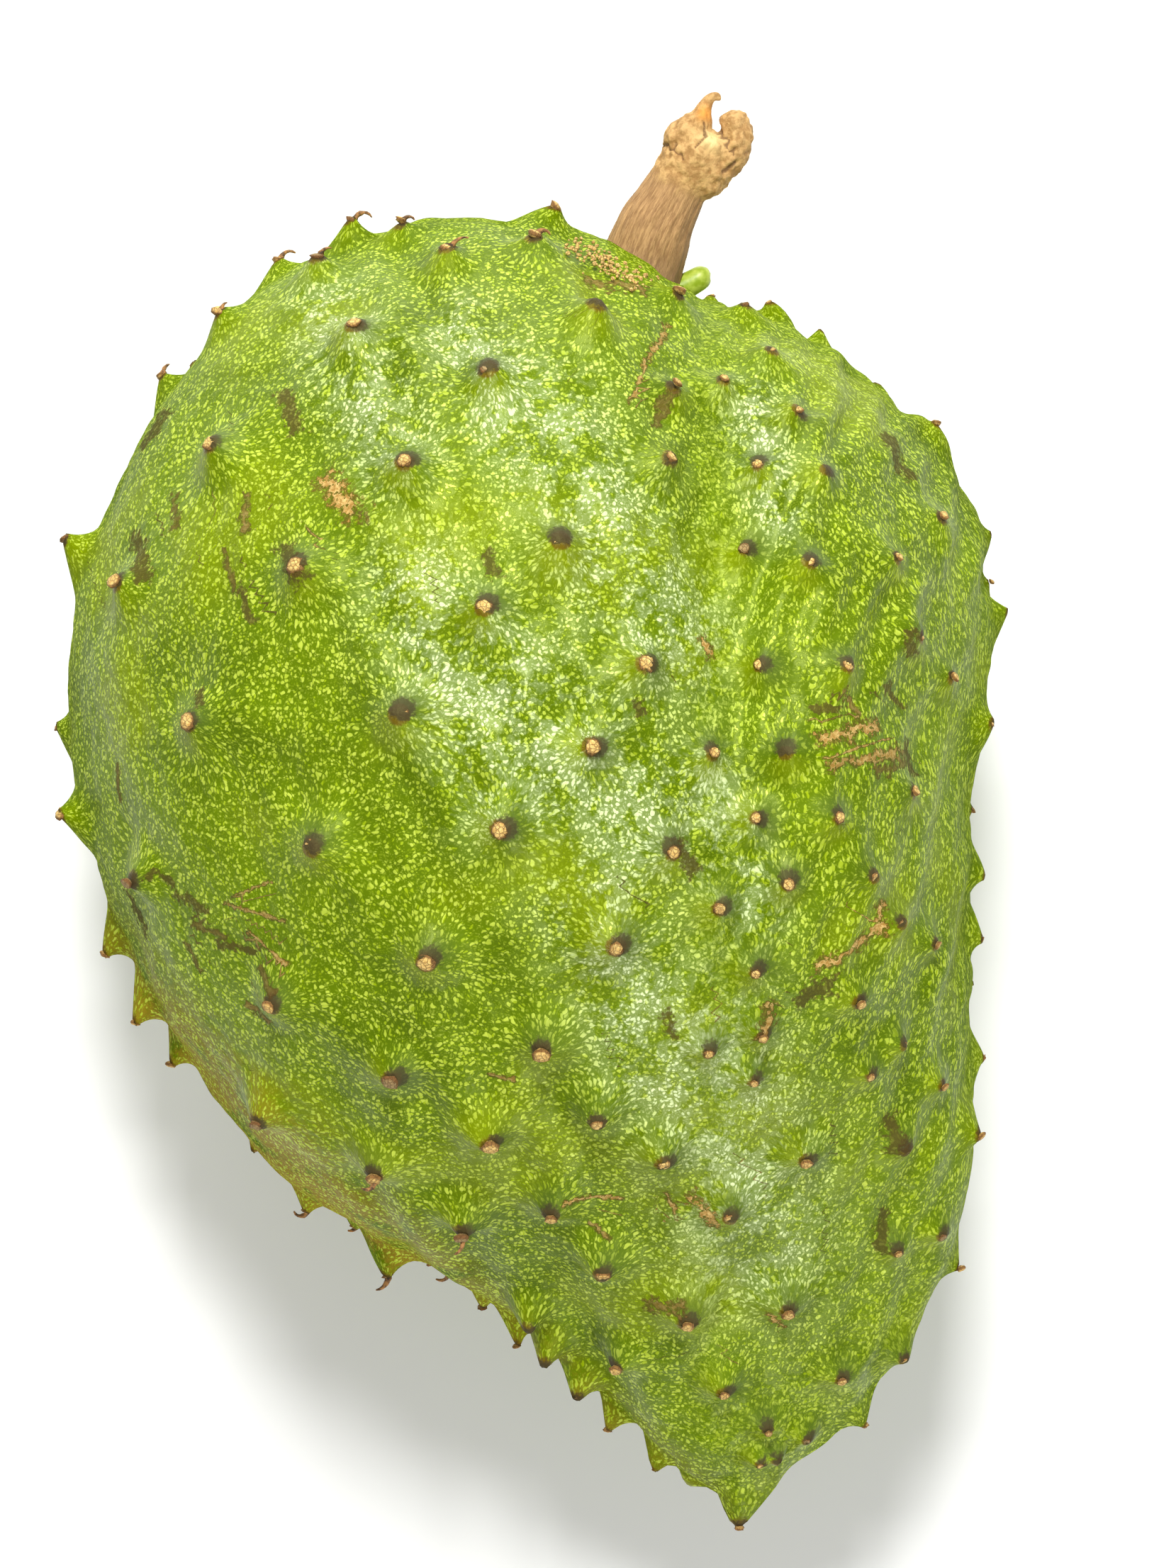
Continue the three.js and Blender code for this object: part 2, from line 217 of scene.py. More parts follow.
def onto_skin(points, rounds=2):
    """Moves points onto the skin along its slope."""
    for _ in range(rounds):
        slope = skin_slope(points)
        points = points - slope * (outside(points) / (slope**2).sum(-1))[..., None]
    return points


top = skin_point(np.zeros(1), np.full(1, 90.0))[0]
print("Top of the smooth fruit, mm:", top.round(1))

# %% [markdown]
# ## Where the spines stand
# On the broad side of a soursop the spines stand far apart, and on its narrow side and near
# its tip they crowd. The upper spines are placed one by one. Round the edge they have a
# direction each, and the underside takes a golden-angle spiral, which spreads points evenly.

# %% The spines' places, in millimetres and degrees
DOME_SPINES = [
    [-14, 68], [-3, 70], [-31, 67], [5, 59], [-25, 57], [-8, 51], [-43, 42], [-18, 39],
    [14, 40], [-31, 26], [-56, 25], [1, 29], [-8, 21], [11, 14], [-45, 7], [-18, 8],
    [5, 4], [-6, -6], [-29, -8], [-54, -12], [15, -9], [-35, -28], [-15, -22], [8, -20],
    [-1, -33], [-20, -37], [-38, -43], [-23, -50], [-8, -45], [6, -42], [-12, -57], [0, -55],
    [7, -63], [14, -48], [-3, -71], [18, -71], [9, -78],
]
CREST_SPINES = [
    [15, 50], [22, 51], [16, 63], [29, 55], [27, 40], [35, 39], [32, 47], [25, 29],
    [33, 27], [44, 28], [51, 34], [27, 14], [37, 14], [20, 3], [30, 3], [26, -5],
    [52, 13], [47, 18], [30, -13], [21, -16], [26, -24], [44, -18], [49, -21], [39, -28],
    [20, -34], [26, -38], [45, -34], [51, -40], [36, -5], [33, -49], [23, -56], [31, -70],
    [23, -82], [29, -88], [39, -81], [46, -2], [27, -32], [40, -12], [41, -38], [46, -48],
    [46, -63], [52, -61], [28, -93],
]
EDGE_SPINES = [
    1, 7, 12, 20, 24, 29, 42, 50, 58, 64, 67, 91, 101, 106, 111, 119, 126, 135, 155, 175,
    185, 199, 208, 215, 230, 239, 250, 257, 262, 266, 270, 273, 276, 279, 282, 284.5, 288,
    291, 296, 301, 310, 320, 327, 334, 340, 348, 355,
]
UNDER_SPINES = 260
GOLDEN_ANGLE = math.pi * (3 - math.sqrt(5))
LONG_AXIS = unit(np.array([-0.08, 1.0, 0.0]))
SPIRAL_CENTRE = np.array([4.0, -6.0, MID_HEIGHT])
SPIRAL_CROWDING, SPIRAL_JITTER, EDGE_BAND = 0.3, 0.5, 9
EDGE_SCATTER, OUTERMOST_SHARE = 30, 0.995
SEARCH_ROUNDS = 20
SCATTER_STEP, SCATTER_SCALE = 12.9898, 43758.5453


def scatter(numbers):
    """A repeatable random number from 0 to 1 for each whole number: a fast wave's fraction."""
    wave = np.sin(numbers * SCATTER_STEP) * SCATTER_SCALE
    return wave - np.floor(wave)


def skin_above(x, y):
    """The upper skin's points straight above places in plan."""
    share = np.minimum(share_at(x, y), OUTERMOST_SHARE)
    return skin_point(np.degrees(np.arctan2(y, x)), np.degrees(np.arccos(share)))


def sway(numbers):
    """A repeatable random number from -1/2 to 1/2 for each whole number."""
    return scatter(numbers) - 0.5


def square_to(axis):
    """Two directions square to each axis and to each other."""
    helper = np.where(np.abs(axis[..., 2:]) < 0.9, [0.0, 0.0, 1.0], [1.0, 0.0, 0.0])
    across = unit(np.cross(helper, axis))
    return across, np.cross(axis, across)


def around(across, over, turn, radius=1):
    """A radius times the cosine of a turn one way, plus its sine the other way."""
    return (radius * np.cos(turn))[..., None] * across + (radius * np.sin(turn))[..., None] * over


def ring_turns(sides):
    """Equal turns round a ring."""
    return 2 * np.pi * np.arange(sides) / sides


def leaving_points(start, headings):
    """Where rays from inside leave the skin, by halving the gap between inside and outside."""
    near, far = np.zeros(len(headings)), np.full(len(headings), 2.0 * TIP_REACH)
    for _ in range(SEARCH_ROUNDS):
        middle = (near + far) / 2
        inside = outside(start + headings * middle[:, None]) < 0
        near, far = np.where(inside, middle, near), np.where(inside, far, middle)
    return start + headings * near[:, None]


def spine_feet():
    """Every spine's place on the smooth skin."""
    upper = skin_above(*np.array(DOME_SPINES + CREST_SPINES, float).T)
    edge = np.array(EDGE_SPINES, float)
    rim = skin_point(edge, EDGE_SCATTER * sway(np.arange(len(edge))))
    index = np.arange(UNDER_SPINES)
    part = (index + 0.5) / UNDER_SPINES
    lean = mix(np.arccos(1 - 2 * part), np.pi * part, SPIRAL_CROWDING)
    turn = index * GOLDEN_ANGLE + SPIRAL_JITTER * sway(index)
    sideways = around(*square_to(LONG_AXIS), turn)
    under = leaving_points(SPIRAL_CENTRE, around(LONG_AXIS, sideways, lean))
    under = under[under[:, 2] < mid_level(under[:, 1]) - EDGE_BAND]
    return np.concatenate([upper, rim, under])


feet = spine_feet()
print("Spine places:", len(feet))

# %% [markdown]
# Each spine gets a foot, a facing direction, a width that grows with the room round it, a
# height and a lean. Spines at the edge are taller and lean towards the nearer end of the
# fruit. Those that would touch the surface below, or the stalk, are left out.

# %% The spines' sizes
SPINE_RADIUS, SPINE_RADIUS_GROWTH, SPINE_RADIUS_LIMITS = 1, 0.17, (1.7, 3.2)
SPINE_HEIGHT, EDGE_SPINE_HEIGHT, SPINE_HEIGHT_VARIATION = 2.2, 2.7, 0.4
LEAST_GROWTH, HEIGHT_PER_RADIUS, TIPWARD_GROWTH, SIDE_LOSS, SIDE_REACH = 0.5, 0.22, 0.5, 0.45, 60
SPINE_LEAN = 0.75
HEIGHT_DRAW, LEAN_DRAWS, CHANCE_DRAW = 7, (3, 5), 11
CAP_RADIUS, CAP_GROWTH, EDGE_CAP_LOSS, CREST_CAP_LOSS = 0.14, 0.28, 0.2, 0.22
CREST_START, CREST_END = 8, 26
GROUND_CLEARANCE, STALK_CLEARANCE = 1.5, 2
STALK_FOOT, STALK_RADIUS = np.array([11.7, 69.0, 51.5]), 5.8


def grow_spines(feet):
    """Keeps the spines that have room, with one array for each of their sizes."""
    number = np.arange(len(feet))
    gaps = np.linalg.norm(feet[:, None] - feet[None], axis=-1) + 1e3 * np.eye(len(feet))
    spacing = gaps.min(1)
    normal = unit(skin_slope(feet))
    edge = 1 - np.abs(normal[:, 2])
    radius = np.clip(SPINE_RADIUS + SPINE_RADIUS_GROWTH * spacing, *SPINE_RADIUS_LIMITS)
    variation = 1 + SPINE_HEIGHT_VARIATION * sway(number + HEIGHT_DRAW)
    tipward = 1 + TIPWARD_GROWTH * np.maximum(-feet[:, 1], 0) / TIP_REACH
    sideward = 1 - SIDE_LOSS * np.clip(feet[:, 0] / SIDE_REACH, 0, 1)
    growth = variation * tipward * sideward * (LEAST_GROWTH + HEIGHT_PER_RADIUS * radius)
    height = growth * mix(SPINE_HEIGHT, EDGE_SPINE_HEIGHT, edge**2)
    fruit_tip = skin_point(np.array([TIP_DIRECTION]), np.zeros(1))
    end = np.where(feet[:, 1:2] > SPIRAL_CENTRE[1], STALK_FOOT, fruit_tip)
    sideways, upwards = [sway(number + draw) for draw in LEAN_DRAWS]
    lean = unit(end - feet) + np.stack([sideways, 0 * number, upwards], 1)
    lean = unit(lean - normal * (lean * normal).sum(1, keepdims=True))
    lean = lean * (SPINE_LEAN * height * edge)[:, None]
    tip = feet + normal * height[:, None] + lean
    clear = np.minimum(tip[:, 2], feet[:, 2] - radius) > GROUND_CLEARANCE
    clear &= np.linalg.norm(feet - STALK_FOOT, axis=1) > STALK_RADIUS + STALK_CLEARANCE
    crest = np.clip((feet[:, 0] - CREST_START) / (CREST_END - CREST_START), 0, 1)
    cap = CAP_RADIUS + CAP_GROWTH * radius
    cap = cap * (1 - EDGE_CAP_LOSS * edge) * (1 - CREST_CAP_LOSS * crest)
    grown = dict(foot=feet, normal=normal, radius=radius, height=height, lean=lean,
                 spacing=spacing, cap=cap, edge=edge, chance=scatter(number + CHANCE_DRAW))
    return {name: values[clear] for name, values in grown.items()}


spines = grow_spines(feet)
print("Spines:", len(spines["foot"]), "tallest, mm:", spines["height"].max().round(1))

# %% [markdown]
# ## The skin's surface
# The skin could be a globe of rings, but that crowds faces at its poles. Instead two square
# sheets are bent into round caps, one above and one below, and sewn along their rim. Squares
# stay nearly square, and no pole is left. One corner of the sheets goes to the fruit's tip.

# %% Two square sheets sewn along their rim
SHEET_STEPS = 220


def round_cap(steps):
    """Direction and reach of a square sheet's points: squares about the middle become rings."""
    a, b = np.meshgrid(np.linspace(-1, 1, steps + 1), np.linspace(-1, 1, steps + 1), indexing="ij")
    wide = np.abs(a) >= np.abs(b)
    side = 45 * b / np.where(a == 0, 1, a) + 180 * (a < 0)
    over = 90 - 45 * a / np.where(b == 0, 1, b) + 180 * (b < 0)
    reach = np.maximum(np.abs(a), np.abs(b))
    return np.where(wide, side, over), reach, a, b


def sewn_sheets(steps):
    """Skin points, faces and sheet places of the two caps, which share their rim's points."""
    angle, reach, a, b = round_cap(steps)
    direction = angle + TIP_DIRECTION - 315
    above = np.arange(angle.size).reshape(angle.shape)
    below = np.where(reach == 1, above, above + angle.size)
    points = np.concatenate([
        skin_point(direction, 90 * (1 - reach)).reshape(-1, 3),
        skin_point(direction, -90 * (1 - reach)).reshape(-1, 3),
    ])

    def squares(index):
        corners = [index[:-1, :-1], index[1:, :-1], index[1:, 1:], index[:-1, 1:]]
        return np.stack(corners, axis=-1).reshape(-1, 4)

    faces = np.concatenate([squares(above), squares(below)[:, ::-1]])
    used, faces = np.unique(faces, return_inverse=True)
    faces = faces.reshape(-1, 4)
    sheet = np.stack([(a + 1) / 2, (b + 1) / 2], axis=-1)
    left = squares(above)
    places = sheet.reshape(-1, 2)[np.concatenate([left, left[:, ::-1]])]
    places[len(left):, :, 0] += 1
    return points[used], faces, places


skin_points, skin_faces, sheet_places = sewn_sheets(SHEET_STEPS)
print("Skin points:", len(skin_points), "faces:", len(skin_faces))

# %% [markdown]
# A spine needs many more points than the plain skin between spines. So the points are drawn
# in towards the nearest spine: a distance r within its reach R becomes R times a power of
# r/R. The faces there shrink, and the sharp tips get the detail, with no face added.

# %% Gather points round the spines
GATHER_POWER = 1.8
LARGEST_REACH = 9.0
SEARCH_PARTS = 16


def nearest_spine(points):
    """For each point, the number of the nearest spine."""
    found = []
    for part in np.array_split(points, SEARCH_PARTS):
        gaps = ((part[:, None] - spines["foot"][None]) ** 2).sum(-1)
        found.append(gaps.argmin(1))
    return np.concatenate(found)


def gather(points):
    """Draws points in towards their nearest spine, and back onto the skin."""
    owner = nearest_spine(points)
    reach = np.minimum(spines["spacing"] / 2, LARGEST_REACH)[owner]
    away = points - spines["foot"][owner]
    distance = np.linalg.norm(away, axis=1)
    share = np.clip(distance / reach, 1e-6, 1)
    drawn = share ** (GATHER_POWER - 1)
    return onto_skin(spines["foot"][owner] + away * drawn[:, None]), owner, reach


smooth_points, owner, reach = gather(skin_points)
print("Gathered:", len(smooth_points), "off the skin by", np.abs(outside(smooth_points)).max().round(4))

# %% [markdown]
# Now the skin gets its relief. A fresh soursop's skin is uneven: it swells and dips by less
# than a millimetre over a finger's width, with finer dimples on top. Waves in many random
# directions add up to such a field. The spines rise from it with hollow flanks, which a
# power of the distance from the spine gives, and their tips lean over.

# %% Relief of the skin
ROUGHNESS = [(24, 0.26), (11, 0.11), (4, 0.05)]
RIDGES = {"dome": [(0.92, 0.39, 0), 9.5, 0.26], "lobe": [(0.94, -0.33, 0), 6.0, 0.26]}
RIDGE_SPREAD = 0.12
LOBE_START, LOBE_END = 6, 26
PLAIN_SIDE_START, PLAIN_SIDE_END = -46, -18
FOOT_SPREAD = 1.55
FLANK_POWER = 1.5
LEAN_POWER = 2.2
TIP_FLAT = 0.8
PIT_RADIUS, PIT_DEPTH = 8.5, 1.4
WAVES = 24


def waves(points, length, seed, heading=(0, 0, 0), spread=1.0):
    """A random field about 1 high: waves of about one length, near one heading or in all."""
    random = np.random.default_rng(seed)
    headings = unit(spread * random.normal(size=(WAVES, 3)) + heading) * (2 * np.pi / length)
    headings = headings * random.uniform(0.7, 1.4, (WAVES, 1))
    phases = random.uniform(0, 2 * np.pi, WAVES)
    return np.cos(points @ headings.T + phases).sum(1) * math.sqrt(2 / WAVES)


def smooth_step(value, start, end):
    """0 before the start, 1 after the end, and a smooth rise between them."""
    share = np.clip((value - start) / (end - start), 0, 1)
    return share * share * (3 - 2 * share)


def ridges(points):
    """Low ridges that run down both sides into the valley between dome and lobe."""
    dome, lobe = [
        height * waves(points, spacing, seed, heading, RIDGE_SPREAD)
        for seed, (heading, spacing, height) in enumerate(RIDGES.values(), 31)
    ]
    field = mix(dome, lobe, smooth_step(points[:, 0], LOBE_START, LOBE_END))
    return field * smooth_step(points[:, 0], PLAIN_SIDE_START, PLAIN_SIDE_END)


def spine_distance(points, owner):
    """Distance from each point's spine, measured along the skin, and the way outwards."""
    away = points - spines["foot"][owner]
    normal = spines["normal"][owner]
    flat = away - normal * (away * normal).sum(1, keepdims=True)
    distance = np.linalg.norm(away, axis=1)
    return distance, unit(flat)


def relief(points, owner):
    """Skin points raised by the uneven field and the spines, and pressed flat below."""
    normal = unit(skin_slope(points))
    distance, _ = spine_distance(points, owner)
    foot = FOOT_SPREAD * spines["radius"][owner]
    flat = TIP_FLAT * spines["cap"][owner]
    share = np.clip(1 - np.maximum(distance - flat, 0) / foot, 0, 1)
    rise = spines["height"][owner] * share**FLANK_POWER
    for seed, (length, depth) in enumerate(ROUGHNESS):
        rise = rise + depth * waves(points, length, seed)
    rise = rise + ridges(points)
    pit = np.linalg.norm(points - STALK_FOOT, axis=1) / PIT_RADIUS
    rise = rise - PIT_DEPTH * np.exp(-(pit**2))
    raised = points + normal * rise[:, None] + spines["lean"][owner] * (share**LEAN_POWER)[:, None]
    raised[:, 2] = np.maximum(raised[:, 2], 0)
    return raised


skin_shape = relief(smooth_points, owner)
print("Skin box, mm:", np.ptp(skin_shape, axis=0).round(1))

# %% [markdown]
# ## From arrays to Blender meshes
# A finished array of points and faces becomes a mesh in one call. Patterns that follow the
# spines need to know where the spines are, so the skin's points also carry attributes.

# %% Mesh helpers


def add_piece(name, points, faces, slot, node):
    """A smooth-shaded mesh object from points in millimetres, riding on the model."""
    mesh = bpy.data.meshes.new(name)
    mesh.from_pydata((points * MM).tolist(), [], faces)
    mesh.shade_smooth()
    piece = bpy.data.objects.new(name, mesh)
    bpy.context.scene.collection.objects.link(piece)
    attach(piece, "root")
    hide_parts(node)
    return piece


def add_vectors(piece, name, values):
    """Stores one vector for each point of the piece."""
    attribute = piece.data.attributes.new(name, "FLOAT_VECTOR", "POINT")
    attribute.data.foreach_set("vector", np.ascontiguousarray(values, np.float32).ravel())


# %% [markdown]
# ## What the skin's points carry
# The pale flecks of a soursop run outwards from each spine, short near it and longer away
# from it. A cell pattern drawn on ordinary places gives round flecks. Drawn on places whose
# distance from the spine is squeezed by a square root, its cells stretch outwards when seen
# on the skin. That squeezed place is the attribute called grain.

# %% Grain and spine attributes
GRAIN_POWER = 0.62
# The side of each spine that gets the dark crescent and the painted grey sheen; painted yellow bounce
# light falls on the other side.
CRESCENT_AND_SHEEN_HEADING, EDGE_CRESCENT_AND_SHEEN_LOSS = [0.9, 0.9, 0.0], 0.35


def grain_places(points, owner, reach):
    """Places with the distance r from the spine replaced by R (r/R) to a power below 1."""
    away = points - spines["foot"][owner]
    share = np.clip(np.linalg.norm(away, axis=1) / reach, 1e-3, 1)
    return spines["foot"][owner] + away * (share ** (GRAIN_POWER - 1))[:, None]


def spine_marks(points, owner):
    """Distance beyond the cap, the side for the dark crescent and painted sheen, and a random number
    for each spine.
    """
    distance, outwards = spine_distance(points, owner)
    chance = spines["chance"][owner]
    crescent_and_sheen_way = around(*square_to(spines["normal"][owner]), 2 * np.pi * chance)
    crescent_and_sheen_way = unit(crescent_and_sheen_way + CRESCENT_AND_SHEEN_HEADING)
    edge = spines["edge"][owner]
    side = (outwards * crescent_and_sheen_way).sum(1) * (1 - edge) - EDGE_CRESCENT_AND_SHEEN_LOSS * edge
    return np.stack([distance - spines["cap"][owner], side, chance], axis=1)


# %% [markdown]
# Scars, scabs and scratches lie in known places, each along a short line. A point carries how
# far along its nearest mark it lies and how far beside it. The distance beside a line changes
# evenly across the faces, so even a thin scratch stays sharp.

# %% Marks on the skin, in millimetres: from x, y, to x, y, width, and corkiness
MARKS = [
    [-28.5, 38.1, -25.6, 34.7, 2.1, 1], [-25.1, 35.1, -23.2, 32.7, 0.6, 0.1],
    [-34.8, 50.1, -33.1, 46.1, 1.3, 0.1], [-49.5, 37.2, -49.3, 33.3, 0.8, 0.2],
    [-39.2, 36.6, -39.4, 31.8, 0.7, 0.3], [-54.7, 45, -51.6, 48.7, 1.1, 0],
    [-42, 29.5, -40.8, 24.3, 0.6, 0.2], [-39.8, 24.2, -38.3, 20.4, 0.7, 0.1],
    [-55.1, 31.7, -53.2, 26.7, 1.4, 0.1], [-33.6, 29.2, -31.1, 25.4, 1.5, 0],
    [-7.8, 28.3, -6.9, 26, 1.2, 0], [-44.7, 11.2, -44.2, 9.8, 0.8, 0],
    [10.9, 9.5, 11.4, 8.6, 0.8, 0], [-57.4, 1.9, -57.6, -2.9, 0.4, 0.2],
    [19.3, 17.5, 20.2, 15.7, 0.8, 0.7], [34.5, 5, 41.3, 6.9, 1.3, 0.6],
    [35.4, 1.8, 44.4, 3.7, 0.9, 0.5], [42.3, 0.9, 46.5, 2.8, 1, 0.2],
    [45.5, 18.4, 46, 16.5, 1.1, 0.1], [33.6, 9.2, 36.4, 8.7, 0.8, 0.1],
    [34.7, -24.2, 41.5, -19.7, 0.9, 0.7], [41.9, -15.9, 42.5, -19.2, 0.7, 1],
    [35.7, -26.1, 32.4, -28.4, 1.2, 0], [16, -8.8, 17.8, -11.1, 1.3, 0],
    [14.7, -30.2, 15.7, -32.6, 0.9, 0.1], [28.2, -28.9, 26.9, -32.2, 0.9, 0.5],
    [21.3, -57.6, 18.8, -55, 1.2, 0.8], [1.6, -54, 9.3, -55.4, 0.4, 0.6],
    [15, -54.4, 16.5, -57.5, 0.5, 0.5], [5, -58.6, 7.9, -60.2, 0.4, 0.4],
    [12.8, -70.2, 17.2, -69.6, 1, 0.3], [29, -71.5, 31, -73.7, 0.7, 0.9],
    [-42.1, -16, -34.2, -18.2, 0.4, 0.4], [-39.2, -19.8, -33.9, -23.9, 0.4, 0.5],
    [-41.1, -15.1, -36, -13.1, 0.3, 0.4], [-39.6, -29.4, -36.6, -31.2, 0.7, 0.3],
    [-8.1, -37.8, -4.8, -38.3, 0.4, 0.4], [44.9, -45.2, 45, -48.2, 1.3, 0.1],
    [44.5, -58.5, 44.2, -63.2, 1, 0], [15.5, 59.9, 12.1, 53.8, 0.6, 0.5],
    [12.5, 53.8, 10.1, 48.6, 0.4, 0.5], [5, 66.5, 12, 64.6, 0.9, 0.3],
    [14.9, 49, 13.9, 46.4, 1, 0.2], [47.4, 40.4, 44.6, 45.4, 1.1, 0],
    [-49, -15, -45, -17, 0.7, 0.1], [-46.5, -19, -42.5, -20.5, 0.6, 0.2],
    [-43, -21.5, -38.5, -22.5, 0.7, 0.1], [-48, -21.5, -46, -25, 0.5, 0.2],
    [-37.5, -24.5, -35, -26.5, 0.6, 0.2], [-52, -12, -49.5, -13.5, 0.6, 0.1],
    [-57, -15, -54.5, -21, 0.6, 0.1], [43.5, 12, 45.5, 9.5, 0.7, 0.1],
    [37.5, 11, 39.5, 8.5, 0.6, 0.3], [46.2, 4.5, 47, 1, 0.8, 0.1],
]
MARK_CLEAR = 8.0


def mark_places(points):
    """For the nearest mark: distance past its ends and beside it, its width and its corkiness."""
    best = np.full(len(points), np.inf)
    found = np.tile([0.5, MARK_CLEAR, 1.0, 0.0], (len(points), 1))
    for x0, y0, x1, y1, width, corkiness in MARKS:
        length = math.hypot(x1 - x0, y1 - y0)
        heading = np.array([x1 - x0, y1 - y0]) / length
        away = points[:, :2] - [x0, y0]
        along, beside = away @ heading, away @ [-heading[1], heading[0]]
        beyond = np.maximum(np.maximum(-along, along - length), 0)
        gap = np.hypot(beside, beyond)
        nearer = (gap / width < best) & (gap < MARK_CLEAR) & (points[:, 2] > MID_HEIGHT)
        best[nearer] = gap[nearer] / width
        found[nearer, 0], found[nearer, 1] = beyond[nearer], beside[nearer]
        found[nearer, 2:] = width, corkiness
    return found


# %% [markdown]
# Fresh soursops wear a thin wax. It is rubbed off the flanks, which stay duller. A few streaks
# of the upper side get a painted highlight: paler flecks and a paler skin between them. A point
# carries its share of painted highlight from the streaks, and how level the skin lies there.

# %% Painted highlight streaks, in millimetres: from x, y, to x, y, and half width
HIGHLIGHT_STREAKS = np.array([
    [-29, 61, -20, 42, 5.5], [-12, 58, -6, 49, 5], [-1, 46, 15, 18, 7.5],
    [-17, 24, -6, -1, 6.5], [-5, 12, 12, -6, 8], [5, -17, 13, -35, 6],
    [20, -35, 27, -61, 9.5], [26, 49, 29.5, 34, 3.5], [20, 0, 26, -16, 4],
])


def line_gap(points, x0, y0, x1, y1):
    """Distance in plan from each point to the line between two places."""
    start, way = np.array([x0, y0]), np.array([x1 - x0, y1 - y0])
    along = np.clip((points[:, :2] - start) @ way / (way @ way), 0, 1)
    return np.linalg.norm(points[:, :2] - start - along[:, None] * way, axis=1)


def highlight_places(points, up):
    """The streaks' painted highlight, a bell curve across each of them, and the level share of the
    skin.
    """
    painted_highlight = sum(np.exp(-((line_gap(points, *ends) / width) ** 2)) for *ends, width in HIGHLIGHT_STREAKS)
    painted_highlight = np.clip(painted_highlight, 0, 1) * (points[:, 2] > MID_HEIGHT)
    return np.stack([painted_highlight, np.abs(up), 0 * up], axis=1)


# %% Build the skin
MAP_MARGIN = 0.004


def add_skin():
    """The fruit's skin with its attributes and a map of its two sheets."""
    skin = add_piece("fruit_skin", skin_shape, skin_faces.tolist(), "skin", "fruit")
    add_vectors(skin, "grain", grain_places(smooth_points, owner, reach))
    add_vectors(skin, "spine", spine_marks(smooth_points, owner))
    marks = mark_places(smooth_points)
    add_vectors(skin, "mark", marks[:, :3])
    add_vectors(skin, "cork", marks[:, 3:] * np.ones(3))
    add_vectors(skin, "painted_highlight", highlight_places(smooth_points, unit(skin_slope(smooth_points))[:, 2]))
    sheets = skin.data.uv_layers.new(name="OFBake")
    flat = MAP_MARGIN + (1 - 2 * MAP_MARGIN) * sheet_places / [2, 1]
    sheets.data.foreach_set("uv", flat.astype(np.float32).ravel())
    return skin


skin = add_skin()
print("Skin mesh:", len(skin.data.vertices), "points")

# %% [markdown]
# ## Shader maths as Python
# A material's pattern is easier to read as a formula than as a web of nodes. A small class
# wraps one output of a node: adding or multiplying two of them adds the Math node that does
# it. Every other node comes from one method, which sets the node up before it joins it.

# %% Wires


class Wire:
    """One output of a shader node, which can be added, multiplied and passed to other nodes."""

    def __init__(self, tree, socket):
        self.tree, self.socket = tree, socket

    def node(self, kind, settings=None, inputs=None, output=0):
        """A new node: its settings first, then its inputs' values or wires."""
        made = self.tree.nodes.new(kind)
        for name, value in (settings or {}).items():
            setattr(made, name, value)
        for name, value in (inputs or {}).items():
            if isinstance(value, Wire):
                self.tree.links.new(value.socket, made.inputs[name])
            else:
                made.inputs[name].default_value = value
        return Wire(self.tree, made.outputs[output])

    def other(self, output):
        """Another output of the same node."""
        return Wire(self.tree, self.socket.node.outputs[output])

    def math(self, operation, *values):
        """A Math node of wires and numbers."""
        return self.node("ShaderNodeMath", {"operation": operation}, dict(enumerate(values)))

    def __add__(self, value):
        return self.math("ADD", self, value)

    def __sub__(self, value):
        return self.math("SUBTRACT", self, value)

    def __rsub__(self, value):
        return self.math("SUBTRACT", value, self)

    def __mul__(self, value):
        return self.math("MULTIPLY", self, value)

    def __truediv__(self, value):
        return self.math("DIVIDE", self, value)

    def __abs__(self):
        return self.math("ABSOLUTE", self)

    __radd__, __rmul__ = __add__, __mul__

    def ramp(self, low, high):
        """A smooth step: 0 at low and 1 at high, or the other way if low is above high."""
        steps = {0: self, 1: low, 2: high, 3: 0.0, 4: 1.0}
        return self.node("ShaderNodeMapRange", {"interpolation_type": "SMOOTHSTEP"}, steps)

    def colours(self, start, end):
        """A colour between two, with this wire as the share of the second."""
        return self.node("ShaderNodeMix", {"data_type": "RGBA"}, {0: self, 6: start, 7: end}, 2)

    def moved(self, operation, other):
        """A Vector Math node of this wire and another wire, vector or number."""
        name = 3 if operation == "SCALE" else 1
        settings = {"operation": operation}
        return self.node("ShaderNodeVectorMath", settings, {0: self, name: other})

    def noise(self, scale, detail=2.0, roughness=0.55):
        """Cloudy noise at this wire's places, centred on a half."""
        values = {"Vector": self, "Scale": scale, "Detail": detail, "Roughness": roughness}
        return self.node("ShaderNodeTexNoise", {}, values)

    def cells(self, scale, feature="F1", randomness=1.0):
        """Distance to the nearest point of a random scatter, with the point's own colour."""
        values = {"Vector": self, "Scale": scale, "Randomness": randomness}
        return self.node("ShaderNodeTexVoronoi", {"feature": feature}, values)

    def least(self, limit):
        """The smaller of this and a limit."""
        return self.math("MINIMUM", self, limit)

    def parts(self):
        """The three parts of a vector."""
        split = self.node("ShaderNodeSeparateXYZ", {}, {0: self})
        return split, split.other(1), split.other(2)


BUMP_DISTANCE = 0.0003


def colour(red, green, blue):
    """A screen colour, from 0 to 255, as the linear light that shaders use."""
    screen = np.array([red, green, blue]) / 255
    light = np.where(screen <= 0.04045, screen / 12.92, ((screen + 0.055) / 1.055) ** 2.4)
    return (*light.tolist(), 1.0)


def new_material(name):
    """A material, its shader and a wire to start patterns from: the object's own places, in mm."""
    material = bpy.data.materials.new(name)
    material.use_nodes = True
    tree = material.node_tree
    shader = tree.nodes["Principled BSDF"]
    places = tree.nodes.new("ShaderNodeTexCoord")
    return material, shader, Wire(tree, places.outputs["Object"]).moved("SCALE", 1 / MM)


